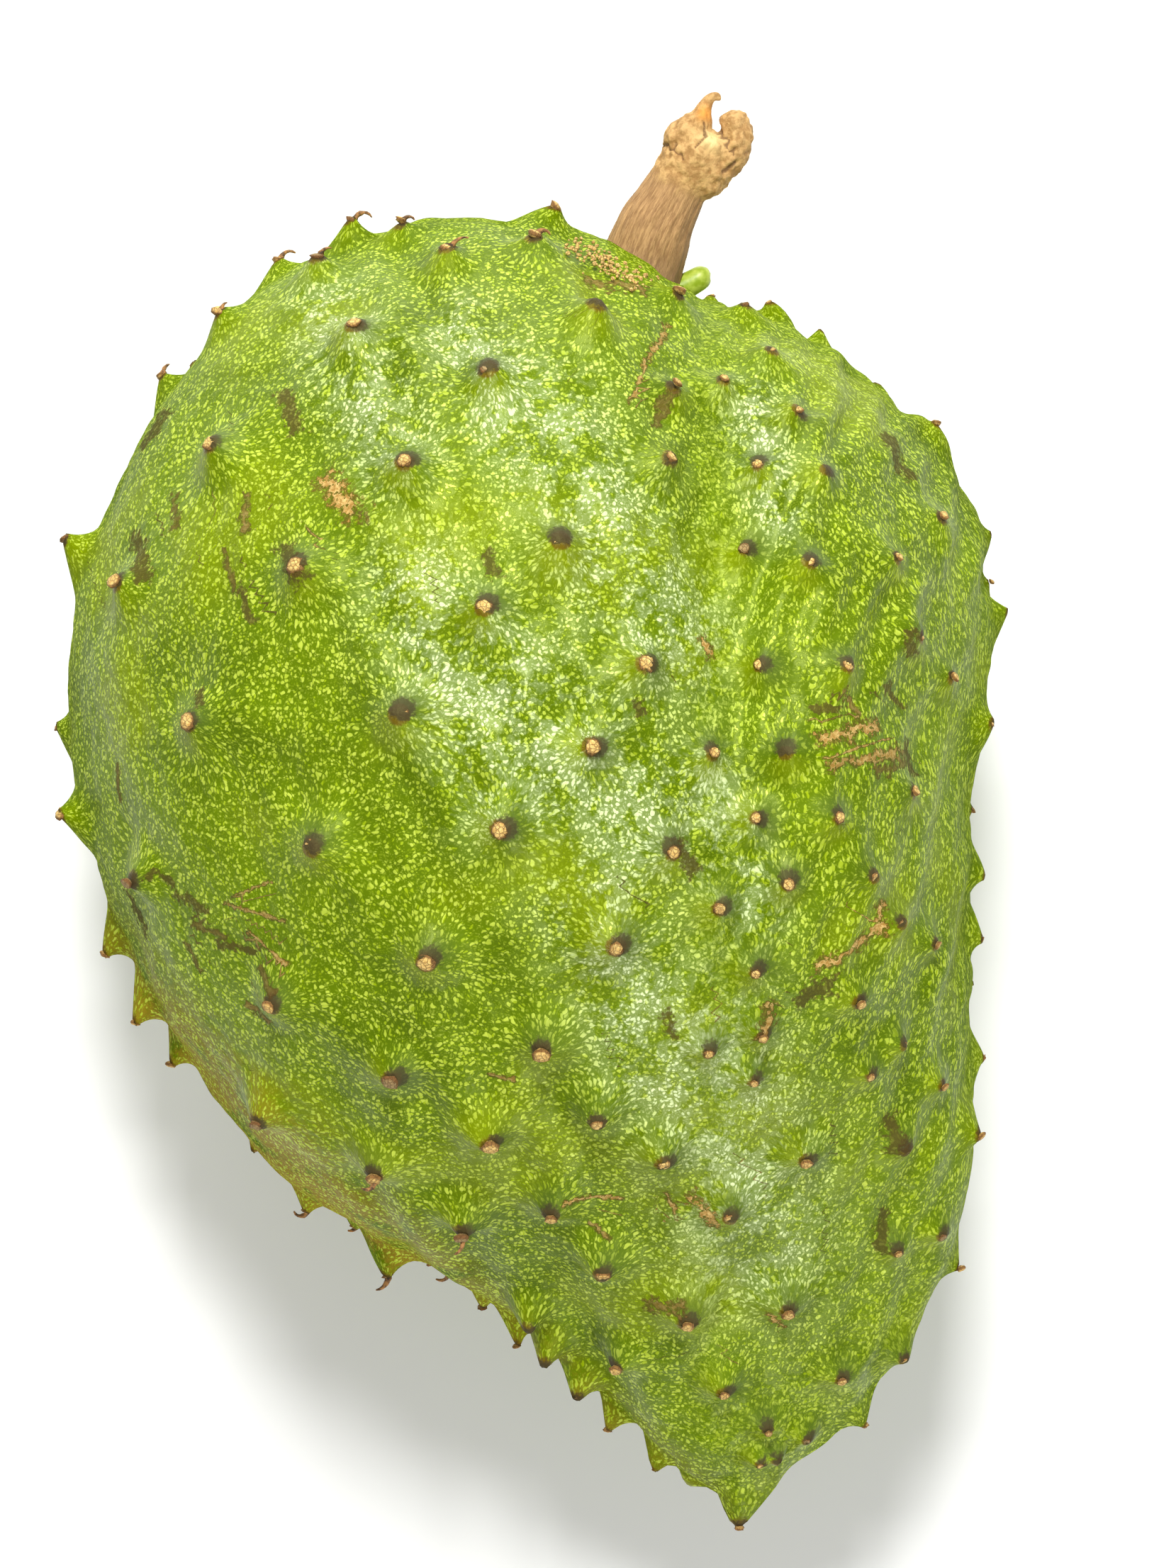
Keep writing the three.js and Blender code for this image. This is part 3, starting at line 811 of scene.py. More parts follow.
def join(shader, name, wire):
    """Leads a wire into one of the shader's sockets."""
    wire.tree.links.new(wire.socket, shader.inputs[name])


def layered(base, *layers):
    """A colour painted over by others in turn, each a wire for its share and a colour."""
    for share, tint in layers:
        base = share.colours(base, tint)
    return base


def bumped(height, strength):
    """A Bump node that raises the surface by a wire's value times a set distance."""
    values = {"Height": height, "Strength": strength, "Distance": BUMP_DISTANCE}
    return height.node("ShaderNodeBump", {}, values)


# %% [markdown]
# ## The skin's finish
# The skin is a deep yellow-green under a thin wax, with pale raised flecks in it. Near every
# spine the flecks get finer. On one side of each spine's tip lie a dark crescent and a painted
# grey sheen, and on the other side painted yellow bounce light. Painted highlights lie along a
# few streaks of the upper side, and painted warm bounce light browns the low rim in patches.
# Old wounds have healed as tan cork with a dark edge.

# %% Skin material
DEEP_GREEN, FRESH_GREEN = colour(78, 102, 0), colour(98, 124, 0)
YELLOW_GREEN = colour(130, 146, 0)
FLECK, FLECK_BRIGHT = colour(154, 178, 10), colour(197, 215, 78)
# On the next line the first colour is a painted highlight, and the second is painted warm bounce light.
HIGHLIGHT_PALE, BOUNCE_BROWN = colour(226, 240, 184), colour(156, 118, 40)
CRESCENT_DARK, CORK, CORK_PALE = colour(64, 54, 40), colour(170, 128, 62), colour(228, 192, 122)
# The second colour on the next line is a painted grey sheen beside each spine.
RUST, SHEEN_GREY = colour(104, 70, 16), colour(80, 98, 46)
SCAB = colour(72, 54, 28)
FLECK_SIZE, FLECK_SIZE_RANGE, FLECK_EDGE = 0.30, 0.15, 0.10
WOBBLE_SCALE, WOBBLE = 0.9, 0.9
LOW_GLOSS, WAX_TINT = 0.32, (0.9, 1.0, 0.3, 1)


def attribute(places, name):
    """A wire of one of the piece's own attributes."""
    return places.node("ShaderNodeAttribute", {"attribute_name": name}, {}, "Vector")


def flecks(grain, scale, stretch):
    """Pale flecks: the middles of random cells, each with its own size and brightness."""
    cells = grain.moved("MULTIPLY", stretch).cells(scale)
    chance = cells.other("Color").parts()[0]
    size = FLECK_SIZE + FLECK_SIZE_RANGE * chance
    return (cells - size).ramp(FLECK_EDGE, -FLECK_EDGE), chance


def skin_material():
    """Green skin with grain flecks, painted highlights, sheen and bounce light, dark crescents by the
    spines, and healed marks.
    """
    material, shader, places = new_material("soursop_skin")
    grain = attribute(places, "grain")
    cloud = {"Vector": places, "Scale": WOBBLE_SCALE, "Detail": 1.0}
    wobble = places.node("ShaderNodeTexNoise", {}, cloud, 1)
    grain = grain.moved("ADD", wobble.moved("SUBTRACT", (0.5, 0.5, 0.5)).moved("SCALE", WOBBLE))
    gap, side, chance = attribute(places, "spine").parts()
    beyond, beside, width = attribute(places, "mark").parts()
    corky = attribute(places, "cork").parts()[0]
    x, y, z = places.parts()

    broad = places.noise(0.035, 2.0)
    patchy = places.noise(0.16, 3.0)
    fine = places.noise(1.9, 3.0, 0.6)
    green = (broad * 0.5 + patchy * 0.5).ramp(0.32, 0.64).colours(DEEP_GREEN, FRESH_GREEN)
    warm = places.noise(0.05, 1.0).ramp(0.52, 0.7) * 0.45
    # Painted warm bounce light: the low rim on the minus x, minus y side turns brown in patches.
    low_rim_bounce = ((x + y) * -0.707).ramp(50, 63)
    low_rim_bounce = low_rim_bounce * (patchy + (fine - 0.5) * 0.4).ramp(0.32, 0.52) * 0.7
    green = layered(green, (warm, YELLOW_GREEN), (low_rim_bounce, BOUNCE_BROWN))

    round_flecks, luck = flecks(grain, 1.7, (1, 1, 1))
    long_flecks, _ = flecks(grain, 2.1, (1, 0.45, 1))
    crest = (x + 6 * patchy - 3).ramp(16, 26) * (z - 40).ramp(0, 20)
    fleck = round_flecks + (long_flecks - round_flecks) * crest
    small_flecks, _ = flecks(grain, 3.4, (1, 1, 1))
    fleck = (fleck + small_flecks * 0.3).least(1.0)
    cover = patchy.ramp(0.3, 0.62) * 0.3 + 0.68
    # Fewer flecks on the side of each spine that gets the painted grey sheen.
    thin = 1 - gap.ramp(3.2, 0.6) * side.ramp(-0.4, 0.8) * 0.5
    fleck = fleck * cover * thin
    # Painted highlight: along the listed streaks the flecks turn pale and the skin between them
    # lightens.
    highlight_share, level, _ = attribute(places, "painted_highlight").parts()
    highlight_share = highlight_share * (grain.noise(0.6, 3.0, 0.7) + (patchy - 0.5) * 0.8).ramp(0.38, 0.62)
    spot = (highlight_share * 0.95).colours(luck.colours(FLECK, FLECK_BRIGHT), HIGHLIGHT_PALE)
    base = fleck.colours((highlight_share * 0.16).colours(green, HIGHLIGHT_PALE), spot)

    # Painted light by each spine: grey is a painted sheen on one side of the tip, and glow is painted
    # yellow bounce light on the other. Then a rust ring round the cap, and a dark crescent on the
    # sheen's side.
    grey = side.ramp(-0.3, 0.9) * gap.ramp(4.0, 0.5) * 0.62
    glow = side.ramp(0.1, -0.9) * gap.ramp(4.2, 0.6) * 0.5
    rim = (gap + (fine - 0.5) * 0.7).ramp(0.5, 0.1) * 0.8
    crescent = gap + (fine - 0.5) * 1.5 - 0.95 * side - 0.4 * chance
    dark_crescent = crescent.ramp(0.45, -0.2) * 0.85
    base = layered(base, (grey, SHEEN_GREY), (glow, YELLOW_GREEN), (rim, RUST), (dark_crescent, CRESCENT_DARK))

    ragged = places.noise(0.75, 4.0, 0.7)
    wander = (places.noise(0.5, 2.0) - 0.5) * 3.0 * width.least(1.0)
    across = abs(beside + wander)
    wound = across.math("MAXIMUM", across, beyond) / width + (ragged - 0.5) * 2.4 + (fine - 0.5) * 2.2
    outer = wound.ramp(1.05, 0.45)
    inner = (wound + (places.noise(1.1, 2.0) - 0.5)).ramp(0.42, 0.22) * corky.ramp(0.05, 0.8)
    scab = (corky * 0.6).colours(SCAB, RUST)
    healed = fine.ramp(0.35, 0.65).colours(CORK, CORK_PALE)
    base = layered(base, (outer * 0.78, scab), (inner, healed))

    join(shader, "Base Color", base)
    rough = 0.34 + 0.10 * patchy - fleck * 0.14 + outer * 0.3 + dark_crescent * 0.25
    join(shader, "Roughness", rough)
    shader.inputs["Specular IOR Level"].default_value = LOW_GLOSS
    shader.inputs["Specular Tint"].default_value = WAX_TINT
    wrinkle = grain.noise(0.42, 2.0, 0.5) * 1.1 + places.noise(0.16, 2.0) * 0.9
    lift = fleck * 0.13 + wrinkle + outer * 0.5 * (fine - 0.2)
    bump = bumped(lift, 0.9)
    join(shader, "Normal", bump)
    dull = base.node("ShaderNodeBsdfPrincipled", {}, {"Base Color": base, "Normal": bump})
    dull.socket.node.inputs["Specular IOR Level"].default_value = 0
    shine = level.ramp(0.15, 0.75) * 0.9 + 0.1
    glossy = Wire(places.tree, shader.outputs["BSDF"])
    mixed = shine.node("ShaderNodeMixShader", {}, {0: shine, 1: dull, 2: glossy})
    output = places.tree.nodes["Material Output"]
    places.tree.links.new(mixed.socket, output.inputs["Surface"])
    return material


skin.data.materials.append(skin_material())
print("Skin material nodes:", len(skin.data.materials[0].node_tree.nodes))

# %% [markdown]
# ## Corky tips
# Each spine ends in a small tan disc of cork. One disc is a low dome with a lumpy rim, so all
# of them can be one array: spine by ring by side. They are one mesh, as they share one finish.

# %% Cork tips
CAP_RINGS = np.array([[0.35, 1.0], [0.72, 0.86], [1.0, 0.45], [1.02, 0.0], [0.8, -0.6]])
CAP_SIDES = 10
CAP_HEIGHT, CAP_LUMPS, CAP_SINK = 0.55, 0.14, 0.15


def closed_rings(rings, tops, bottoms):
    """Points and faces of many closed bodies: rings of points between a top and a bottom point."""
    count, rows, sides = rings.shape[:3]
    body = rows * sides + 2
    points = np.concatenate([tops[:, None], rings.reshape(count, -1, 3), bottoms[:, None]], 1)
    side = np.arange(sides)
    after = (side + 1) % sides
    at = 1 + sides * np.arange(rows - 1)[:, None]
    walls = np.stack([at + side, at + sides + side, at + sides + after, at + after], -1)
    last = 1 + (rows - 1) * sides
    lids = np.stack([
        [0 * side, 1 + side, 1 + after],
        [0 * side + body - 1, last + after, last + side],
    ])
    starts = body * np.arange(count)[:, None, None]
    walls = (walls.reshape(-1, 4) + starts).reshape(-1, 4)
    lids = (lids.transpose(0, 2, 1).reshape(-1, 3) + starts).reshape(-1, 3)
    return points.reshape(-1, 3), walls.tolist() + lids.tolist()


def cork_tips():
    """Lumpy domes on the spines' tips, each turned to its spine's lean."""
    count = len(spines["foot"])
    random = np.random.default_rng(5)
    axis = unit(spines["normal"] * spines["height"][:, None] + 1.6 * spines["lean"])
    across, over = square_to(axis)
    radius = spines["cap"] * random.uniform(0.9, 1.15, count)
    lumps = 1 + CAP_LUMPS * random.normal(size=(count, len(CAP_RINGS), CAP_SIDES)).clip(-1.6, 1.6)
    wide = CAP_RINGS[None, :, None, 0] * lumps * radius[:, None, None]
    high = (CAP_RINGS[None, :, None, 1] + 0.15 * (lumps - 1)) * CAP_HEIGHT * radius[:, None, None]
    sunk = spines["height"] - CAP_SINK
    centre = spines["foot"] + spines["normal"] * sunk[:, None] + spines["lean"]
    levels = centre[:, None, None] + high[..., None] * axis[:, None, None]
    rings = levels + around(across[:, None, None], over[:, None, None], ring_turns(CAP_SIDES), wide)
    tops = centre + axis * (radius * CAP_HEIGHT * 0.95)[:, None]
    bottoms = centre - axis * (radius * 0.7)[:, None]
    return closed_rings(rings, tops, bottoms)


def cap_marks():
    """For each point of each cap: its ring's width, and the cap's random number."""
    width = np.concatenate([[0.0], np.repeat(CAP_RINGS[:, 0], CAP_SIDES), [1.0]])
    chance = np.repeat(spines["chance"], len(width))
    return np.stack([np.tile(width, len(spines["foot"])), chance, 0 * chance], axis=1)


tips = add_piece("spine_tips", *cork_tips(), "skin", "fruit")
add_vectors(tips, "cap", cap_marks())
print("Cork tips:", len(tips.data.polygons), "faces")

# %% Cork material


def cork_material():
    """Pale tan, crumbly cork that turns brown at a cap's rim, and grey on a few caps."""
    material, shader, places = new_material("cork")
    width, chance, _ = attribute(places, "cap").parts()
    grain = places.noise(2.2, 4.0, 0.7)
    cracks = places.cells(1.6, "DISTANCE_TO_EDGE").ramp(0.10, 0.02)
    base = grain.ramp(0.32, 0.66).colours(colour(204, 158, 78), colour(246, 210, 128))
    dusk = chance.ramp(0.84, 0.88) * 0.65, colour(104, 90, 70)
    rim = (width + (grain - 0.5) * 0.5).ramp(0.74, 0.98) * 0.85, colour(124, 76, 26)
    base = layered(base, dusk, rim, (cracks * 0.5, colour(120, 82, 40)))
    join(shader, "Base Color", base)
    join(shader, "Roughness", 0.7 + 0.2 * grain)
    join(shader, "Normal", bumped(grain - cracks * 0.6, 0.8))
    return material


cork = cork_material()
tips.data.materials.append(cork)

# %% [markdown]
# ## The stalk
# The stalk is a dry woody bar that widens to the fruit below and to a swollen knob above,
# where it tore from the tree and left a curled splinter. Its parts are bars along short
# curves. A voxel remesh melts them into one skin, which then gets its fibres and lumps.

# %% Stalk
STALK = np.array([
    [11.0, 67, 51.1, 6.0], [11.7, 69, 51.5, 5.8], [13.9, 75.3, 52.6, 5.2], [15.9, 79.1, 53.4, 4.5],
    [17.5, 82, 54.0, 4.2], [19.3, 84.6, 54.4, 4.6], [20.9, 86.8, 54.6, 4.3], [21.6, 88, 54.7, 3.0],
])
STALK_LEFT_LUMP = np.array([
    [17.2, 85.6, 54.8, 2.2], [17.9, 87.2, 55.3, 2.9], [18.8, 88.8, 55.8, 2.3], [19.4, 90, 56.0, 1.4],
])
STALK_FLARE = np.array([[17.4, 80.8, 53.8, 2.8], [20.6, 83.0, 54.4, 3.7], [22.6, 84.4, 54.8, 3.0]])
STALK_RIGHT_LUMP = np.array([
    [22.8, 83.6, 54.6, 2.4], [24.0, 85.4, 55.0, 2.7], [24.9, 87.8, 55.4, 2.5], [24.6, 89.9, 55.8, 1.9],
    [24.4, 90.9, 55.9, 1.2],
])
STALK_SPLINTER = np.array([
    [18.9, 88.0, 55.8, 2.4], [20.0, 89.7, 56.4, 1.75], [20.7, 91.5, 56.8, 1.05],
    [21.4, 92.6, 57, 0.7], [22.3, 93.0, 56.9, 0.5], [22.7, 92.4, 56.8, 0.35],
])
# Cracks in the knob: from x, y, to x, y, and width.
CRACKS = np.array([
    [15.0, 86.8, 16.4, 85.6, 0.30], [16.4, 85.6, 17.8, 84.1, 0.22], [22.3, 89.6, 22.6, 88.1, 0.40],
    [22.6, 88.1, 24.0, 86.2, 0.26], [24.0, 86.2, 24.6, 84.6, 0.18], [20.5, 89.3, 20.9, 87.4, 0.30],
    [20.9, 87.4, 19.2, 85.6, 0.20], [23.2, 82.6, 25.0, 84.0, 0.34],
])
CRACK_DEPTH, CRACK_FACE = 0.4, 54.0
CRACK_WANDER, CRACK_WAVE, CRACK_SEED = 0.16, 1.6, 25
PALE_TEAR, ORANGE_TEAR = [21.6, 86.8, 1.5], [20.7, 90.4, 1.1]
FIBRE_GIRTH, FIBRE_STRETCH = 5, 0.12
BAR_STEPS, BAR_SIDES, BAR_END = 40, 40, 0.35
VOXEL = 0.00024


def smooth_line(line, steps):
    """A curve through the rows of a line, with equal shares of the way between rows."""
    place = np.linspace(0, len(line) - 1, steps)
    here = np.minimum(place.astype(int), len(line) - 2)
    t = (place - here)[:, None]
    p0, p1 = line[np.maximum(here - 1, 0)], line[here]
    p2, p3 = line[here + 1], line[np.minimum(here + 2, len(line) - 1)]
    slope_from, slope_to = (p2 - p0) / 2, (p3 - p1) / 2
    return mix(p1, p2, t * t * (3 - 2 * t)) + t * (1 - t) * ((1 - t) * slope_from - t * slope_to)


def bar(line):
    """A closed round bar along a line of x, y, z and radius."""
    path = smooth_line(line, BAR_STEPS)
    axis = unit(np.gradient(path[:, :3], axis=0))
    across, over = square_to(axis)
    rings = around(across[:, None], over[:, None], ring_turns(BAR_SIDES), path[:, 3:])
    rings = rings + path[:, None, :3]
    lift = BAR_END * axis * path[:, 3:]
    return closed_rings(rings[::-1][None], path[-1:, :3] + lift[-1:], path[:1, :3] - lift[:1])


def melted(name, bodies):
    """The bodies as one skin, by a voxel remesh: its points and faces."""
    points, faces, start = [], [], 0
    for body_points, body_faces in bodies:
        points.append(body_points)
        faces += [[corner + start for corner in face] for face in body_faces]
        start += len(body_points)
    mesh = bpy.data.meshes.new(name)
    mesh.from_pydata((np.concatenate(points) * MM).tolist(), [], faces)
    draft = bpy.data.objects.new(name, mesh)
    bpy.context.scene.collection.objects.link(draft)
    remesh = draft.modifiers.new("melt", "REMESH")
    remesh.mode, remesh.voxel_size = "VOXEL", VOXEL
    graph = bpy.context.evaluated_depsgraph_get()
    result = bpy.data.meshes.new_from_object(draft.evaluated_get(graph))
    found, normals = np.empty((2, len(result.vertices) * 3))
    corners = np.empty(len(result.loops), int)
    result.vertices.foreach_get("co", found)
    result.vertices.foreach_get("normal", normals)
    result.loops.foreach_get("vertex_index", corners)
    bpy.data.objects.remove(draft)
    bpy.data.meshes.remove(mesh)
    bpy.data.meshes.remove(result)
    return found.reshape(-1, 3) / MM, corners.reshape(-1, 4).tolist(), normals.reshape(-1, 3)


def stalk_places(points):
    """How far along the stalk's middle line each point lies, and its offset from that line."""
    path = smooth_line(STALK, 200)[:, :3]
    along = np.concatenate([[0], np.cumsum(np.linalg.norm(np.diff(path, axis=0), axis=1))])
    nearest = ((points[:, None] - path[None]) ** 2).sum(-1).argmin(1)
    return along[nearest], points - path[nearest]


def crack_share(points):
    """1 in the middle of a crack on the knob's upper face, 0 away from the cracks."""
    points = points + CRACK_WANDER * waves(points, CRACK_WAVE, CRACK_SEED)[:, None] * [1, 1, 0]
    gap = np.min([line_gap(points, *ends) / width for *ends, width in CRACKS], axis=0)
    return np.exp(-(gap**2)) * smooth_step(points[:, 2], CRACK_FACE, CRACK_FACE + 1)


def patch_share(points, patch):
    """1 at the middle of a round patch x, y, radius on the upper face, 0 well outside it."""
    gap = np.linalg.norm(points[:, :2] - patch[:2], axis=1) / patch[2]
    return np.exp(-(gap**2)) * smooth_step(points[:, 2], CRACK_FACE, CRACK_FACE + 1)


def stalk_shape():
    """The melted stalk with lengthwise fibres on its shaft, and lumps and cracks on its knob."""
    parts = [STALK, STALK_FLARE, STALK_LEFT_LUMP, STALK_RIGHT_LUMP, STALK_SPLINTER]
    points, faces, normal = melted("stalk_draft", [bar(part) for part in parts])
    along, offset = stalk_places(points)
    fibre = unit(offset) * FIBRE_GIRTH
    fibre[:, 2] = fibre[:, 2] + along * 0.16
    knob = smooth_step(along, 15, 18)
    ridges = 0.05 * waves(fibre, 1.5, 21) + 0.03 * waves(fibre, 0.7, 22)
    lumps = 0.10 * waves(points, 2.6, 23) + 0.06 * waves(points, 1.1, 24)
    thin = smooth_step(points[:, 1], 92.5, 90)
    rise = ridges * (1 - knob) + lumps * knob * thin - CRACK_DEPTH * crack_share(points)
    return points + normal * rise[:, None], faces, along, offset, crack_share(points)


stalk_points, stalk_faces, stalk_along, stalk_offset, stalk_cracks = stalk_shape()
stalk = add_piece("stalk_wood", stalk_points, stalk_faces, "stalk", "stalk")
right, _, up = (unit(stalk_offset) * FIBRE_GIRTH).T
tears = [patch_share(stalk_points, tear) for tear in (PALE_TEAR, ORANGE_TEAR)]
add_vectors(stalk, "fibre", np.stack([right, up, stalk_along * FIBRE_STRETCH], 1))
add_vectors(stalk, "along", np.stack([stalk_along, stalk_cracks, right], 1))
add_vectors(stalk, "tears", np.stack([*tears, 0 * right], 1))
print("Stalk:", len(stalk_points), "points, length, mm:", stalk_along.max().round(1))

# %% Stalk material


def wood_material():
    """Brown wood with lengthwise fibres, tan bark on the knob, dark cracks and torn wood."""
    material, shader, places = new_material("stalk_wood")
    fibre = attribute(places, "fibre")
    along, crack, right = attribute(places, "along").parts()
    pale, orange, _ = attribute(places, "tears").parts()
    streaks = fibre.noise(2.4, 4.0, 0.65)
    fine = fibre.noise(6.0, 3.0, 0.7)
    mottle = places.noise(0.9, 4.0, 0.65)
    shaft = (streaks * 0.5 + fine * 0.5).ramp(0.36, 0.66)
    shaft = shaft.colours(colour(142, 104, 62), colour(196, 154, 102))
    bark = mottle.ramp(0.36, 0.64).colours(colour(166, 124, 68), colour(212, 170, 108))
    knob = (along + 2.0 * mottle).ramp(15.5, 18)
    foot = (along + 2.5 * streaks).ramp(8.0, 3.0) * 0.5
    shade = right.ramp(2.0, 5.0) * (1 - knob) * 0.35
    dark = (crack + (fine - 0.5) * 0.5).ramp(0.3, 0.85) * 0.75
    base = layered(
        shaft,
        (knob, bark),
        (foot, colour(158, 124, 100)),
        (shade, colour(110, 78, 40)),
        (orange * 0.9, colour(240, 160, 62)),
        ((pale * (0.4 + fine)).least(1.0), colour(252, 220, 150)),
        (dark, colour(104, 72, 40)),
    )
    join(shader, "Base Color", base)
    join(shader, "Roughness", 0.72 + 0.2 * mottle)
    lift = streaks * 0.6 * (1 - knob) + mottle * knob * 1.4 + fine * 0.3
    join(shader, "Normal", bumped(lift, 0.7))
    return material


stalk.data.materials.append(wood_material())
print("Stalk material nodes:", len(stalk.data.materials[0].node_tree.nodes))

# %% [markdown]
# ## A soft nub by the stalk
# Close to the stalk's foot stands one plump, pale green spine that never dried. It is a short
# bar with a round end, and it takes a smooth pale finish with a thin wax.

# %% Nub
NUB = np.array([
    [16.5, 67.0, 50.6, 1.9], [18.6, 68.0, 50.9, 1.75], [20.4, 69.0, 51.1, 1.6], [21.2, 69.4, 51.2, 1.1],
    [21.5, 69.5, 51.2, 0.4],
])


def two_tone(name, grain, dark, pale, rough, more_rough):
    """A plain finish between two colours, which may be rougher where it is paler."""
    material, shader, places = new_material(name)
    cloud = places.noise(*grain)
    join(shader, "Base Color", cloud.ramp(0.35, 0.65).colours(dark, pale))
    join(shader, "Roughness", rough + more_rough * cloud)
    return material


nub = add_piece("green_nub", *bar(NUB), "skin", "fruit")
fresh = two_tone("fresh_skin", (0.8, 2.0), colour(150, 174, 36), colour(190, 206, 84), 0.4, 0)
nub.data.materials.append(fresh)
print("Nub:", len(nub.data.polygons), "faces")

# %% [markdown]
# ## Dry hooks
# On the rim near the stalk, and on the low side near the tip, the spines' tips have dried
# to thin brown hooks. A hook is a thin bar that tapers along an arc. All hooks share one
# formula, so they are one array: hook by step by side.

# %% Hooks
HOOK_DIRECTIONS = [(92, 136), (236, 262)]
HOOK_LENGTH, HOOK_RADIUS = 3.4, 0.42
HOOK_STEPS, HOOK_SIDES = 9, 7


def hooked_spines():
    """The numbers of the rim's spines that carry a hook."""
    foot = spines["foot"]
    direction = np.degrees(np.arctan2(foot[:, 1], foot[:, 0])) % 360
    near = [(direction > start) & (direction < end) for start, end in HOOK_DIRECTIONS]
    return np.flatnonzero((near[0] | near[1]) & (spines["edge"] > 0.35) & (foot[:, 2] > 28))


def hooks():
    """Tapered arcs that leave the spines' tips and curl clockwise, seen from above."""
    which = hooked_spines()
    random = np.random.default_rng(12)
    count = len(which)
    normal, lean = spines["normal"][which], spines["lean"][which]
    start = spines["foot"][which] + normal * (spines["height"][which] - 0.9)[:, None] + lean * 0.9
    ahead = unit(normal * 1.5 + unit(lean))
    aside = np.cross(ahead, [0.0, 0.0, 1.0]) + 0.3 * random.normal(size=(count, 3))
    aside = unit(aside - ahead * (aside * ahead).sum(1, keepdims=True))
    way = np.linspace(0, 1, HOOK_STEPS)
    length = HOOK_LENGTH * random.uniform(0.6, 1.2, count)
    bend = random.uniform(1.2, 2.6, count)
    turn = bend[:, None] * way**1.5
    axis = around(ahead[:, None], aside[:, None], turn)
    side = around(aside[:, None], -ahead[:, None], turn)
    step = length[:, None, None] / HOOK_STEPS
    path = start[:, None] + np.cumsum(axis * step, axis=1)
    radius = HOOK_RADIUS * (1.25 - way)[None, :] * random.uniform(0.8, 1.3, (count, HOOK_STEPS))
    sides = side[:, :, None], np.cross(axis, side)[:, :, None]
    rings = path[:, :, None] + around(*sides, ring_turns(HOOK_SIDES), radius[..., None])
    return closed_rings(rings[:, ::-1], path[:, -1] + axis[:, -1] * 0.1, path[:, 0] - axis[:, 0] * 0.3)


dry_hooks = add_piece("dry_hooks", *hooks(), "skin", "fruit")
dry = two_tone("dry_hooks", (1.6, 3.0, 0.6), colour(70, 46, 24), colour(176, 126, 70), 0.6, 0.3)
dry_hooks.data.materials.append(dry)
print("Hooks:", len(hooked_spines()))

# %% [markdown]
# ## The cork crust below the stalk
# Where the stalk leaves the fruit, the skin has broken into crumbs of cork. Crumbs are tiny
# lumpy balls, many of them, scattered along the line of the break and pressed onto the skin.

# %% Crust
CRUST_LINE = np.array([[2.5, 71.5], [6, 69.5], [9, 67.2], [12.5, 65.8]])
CRUMBS, CRUMB_SIDES = 190, 6
CRUMB_ROWS = np.radians([60, 20, -20, -60])
CRUST_SPREAD, CRUMB_RADIUS, CRUMB_SQUASH = [1.1, 0.8], (0.12, 0.36), 0.8


def crumbs():
    """Lumpy balls on the skin, scattered about the crust's line."""
    random = np.random.default_rng(8)
    place = random.uniform(0, len(CRUST_LINE) - 1, CRUMBS)
    here = np.minimum(place.astype(int), len(CRUST_LINE) - 2)
    middle = mix(CRUST_LINE[here], CRUST_LINE[here + 1], (place - here)[:, None])
    foot = skin_above(*(middle + random.normal(0, 1, (CRUMBS, 2)) * CRUST_SPREAD).T)
    normal = unit(skin_slope(foot))
    across, over = square_to(normal)
    radius = random.uniform(*CRUMB_RADIUS, CRUMBS)
    lumps = random.uniform(0.7, 1.25, (CRUMBS, len(CRUMB_ROWS), CRUMB_SIDES)) * radius[:, None, None]
    turn = ring_turns(CRUMB_SIDES) + 2 * np.pi * random.uniform(0, 1, (CRUMBS, 1))
    flat = lumps * np.cos(CRUMB_ROWS)[:, None]
    high = lumps * np.sin(CRUMB_ROWS)[:, None] * CRUMB_SQUASH
    centre = foot + normal * (radius * 0.4)[:, None]
    levels = centre[:, None, None] + high[..., None] * normal[:, None, None]
    rings = levels + around(across[:, None, None], over[:, None, None], turn[:, None], flat)
    cap = normal * (radius * CRUMB_SQUASH)[:, None]
    return closed_rings(rings, centre + cap, centre - cap)


crust = add_piece("cork_crust", *crumbs(), "skin", "fruit")
crust.data.materials.append(cork)
print("Crust:", len(crust.data.polygons), "faces")

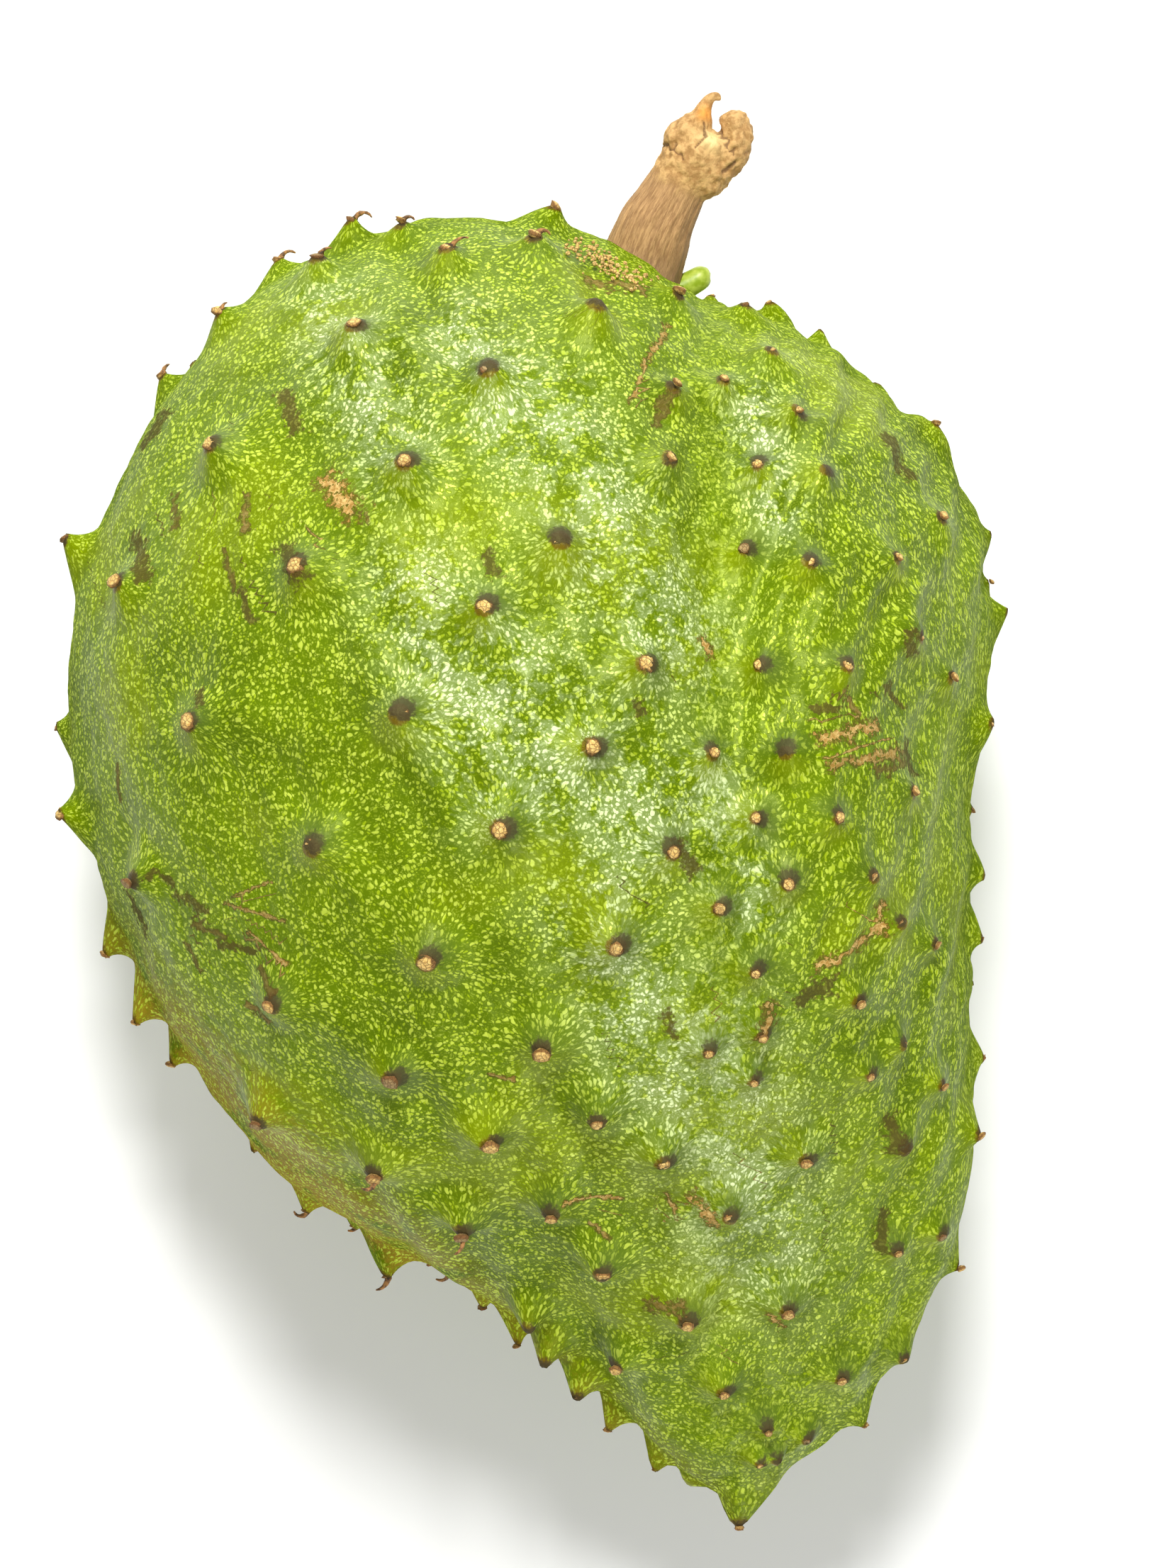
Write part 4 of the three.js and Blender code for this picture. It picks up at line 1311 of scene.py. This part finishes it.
# %% [markdown]
# ## Floor and light
# A plain pale floor and large soft lights suit a waxy skin: a wide light gives broad, calm
# highlights, which the flecks break up.

# %% Floor and lights
FLOOR_SIZE = 3.0
AIM = (0, 0, 0.05)
SKY_STRENGTH = 0.37
LIGHTS = {
    "key": [(-0.02, 0.50, 0.85), 0.22, 0.18, 9],
    "far": [(-0.10, 1.10, 0.28), 0.4, 0.2, 4],
    "front": [(0.20, -0.55, 0.8), 0.16, 0.2, 2.2],
    "low": [(0.33, -1.05, 0.25), 0.15, 0.15, 2.5],
}


def add_floor():
    """A plain pale floor at the height that the fruit rests on."""
    half = FLOOR_SIZE / 2
    mesh = bpy.data.meshes.new("floor")
    corners = [(-half, -half, 0), (half, -half, 0), (half, half, 0), (-half, half, 0)]
    mesh.from_pydata(corners, [], [(0, 1, 2, 3)])
    floor = bpy.data.objects.new("floor", mesh)
    bpy.context.scene.collection.objects.link(floor)
    material, shader, _ = new_material("floor")
    shader.inputs["Base Color"].default_value = (0.93, 0.93, 0.92, 1)
    shader.inputs["Roughness"].default_value = 0.9
    mesh.materials.append(material)


def add_light(name, place, width, length, power):
    """A wide soft light that faces the fruit."""
    lamp = bpy.data.lights.new(name, "AREA")
    lamp.shape = "RECTANGLE"
    lamp.size, lamp.size_y, lamp.energy = width, length, power
    light = bpy.data.objects.new(name, lamp)
    bpy.context.scene.collection.objects.link(light)
    light.location = place
    away = np.array(place) - AIM
    light.rotation_euler = (0, math.acos(away[2] / np.linalg.norm(away)), math.atan2(away[1], away[0]))


def add_sky(strength):
    """An even pale light from all round, with colours shown without a film curve."""
    world = bpy.data.worlds.new("sky")
    world.use_nodes = True
    world.node_tree.nodes["Background"].inputs["Color"].default_value = (1.0, 0.99, 0.97, 1)
    world.node_tree.nodes["Background"].inputs["Strength"].default_value = strength
    bpy.context.scene.world = world
    bpy.context.scene.view_settings.view_transform = "Standard"


add_floor()
for name, settings in LIGHTS.items():
    add_light(name, *settings)
add_sky(SKY_STRENGTH)
print("Lights:", ", ".join(LIGHTS))
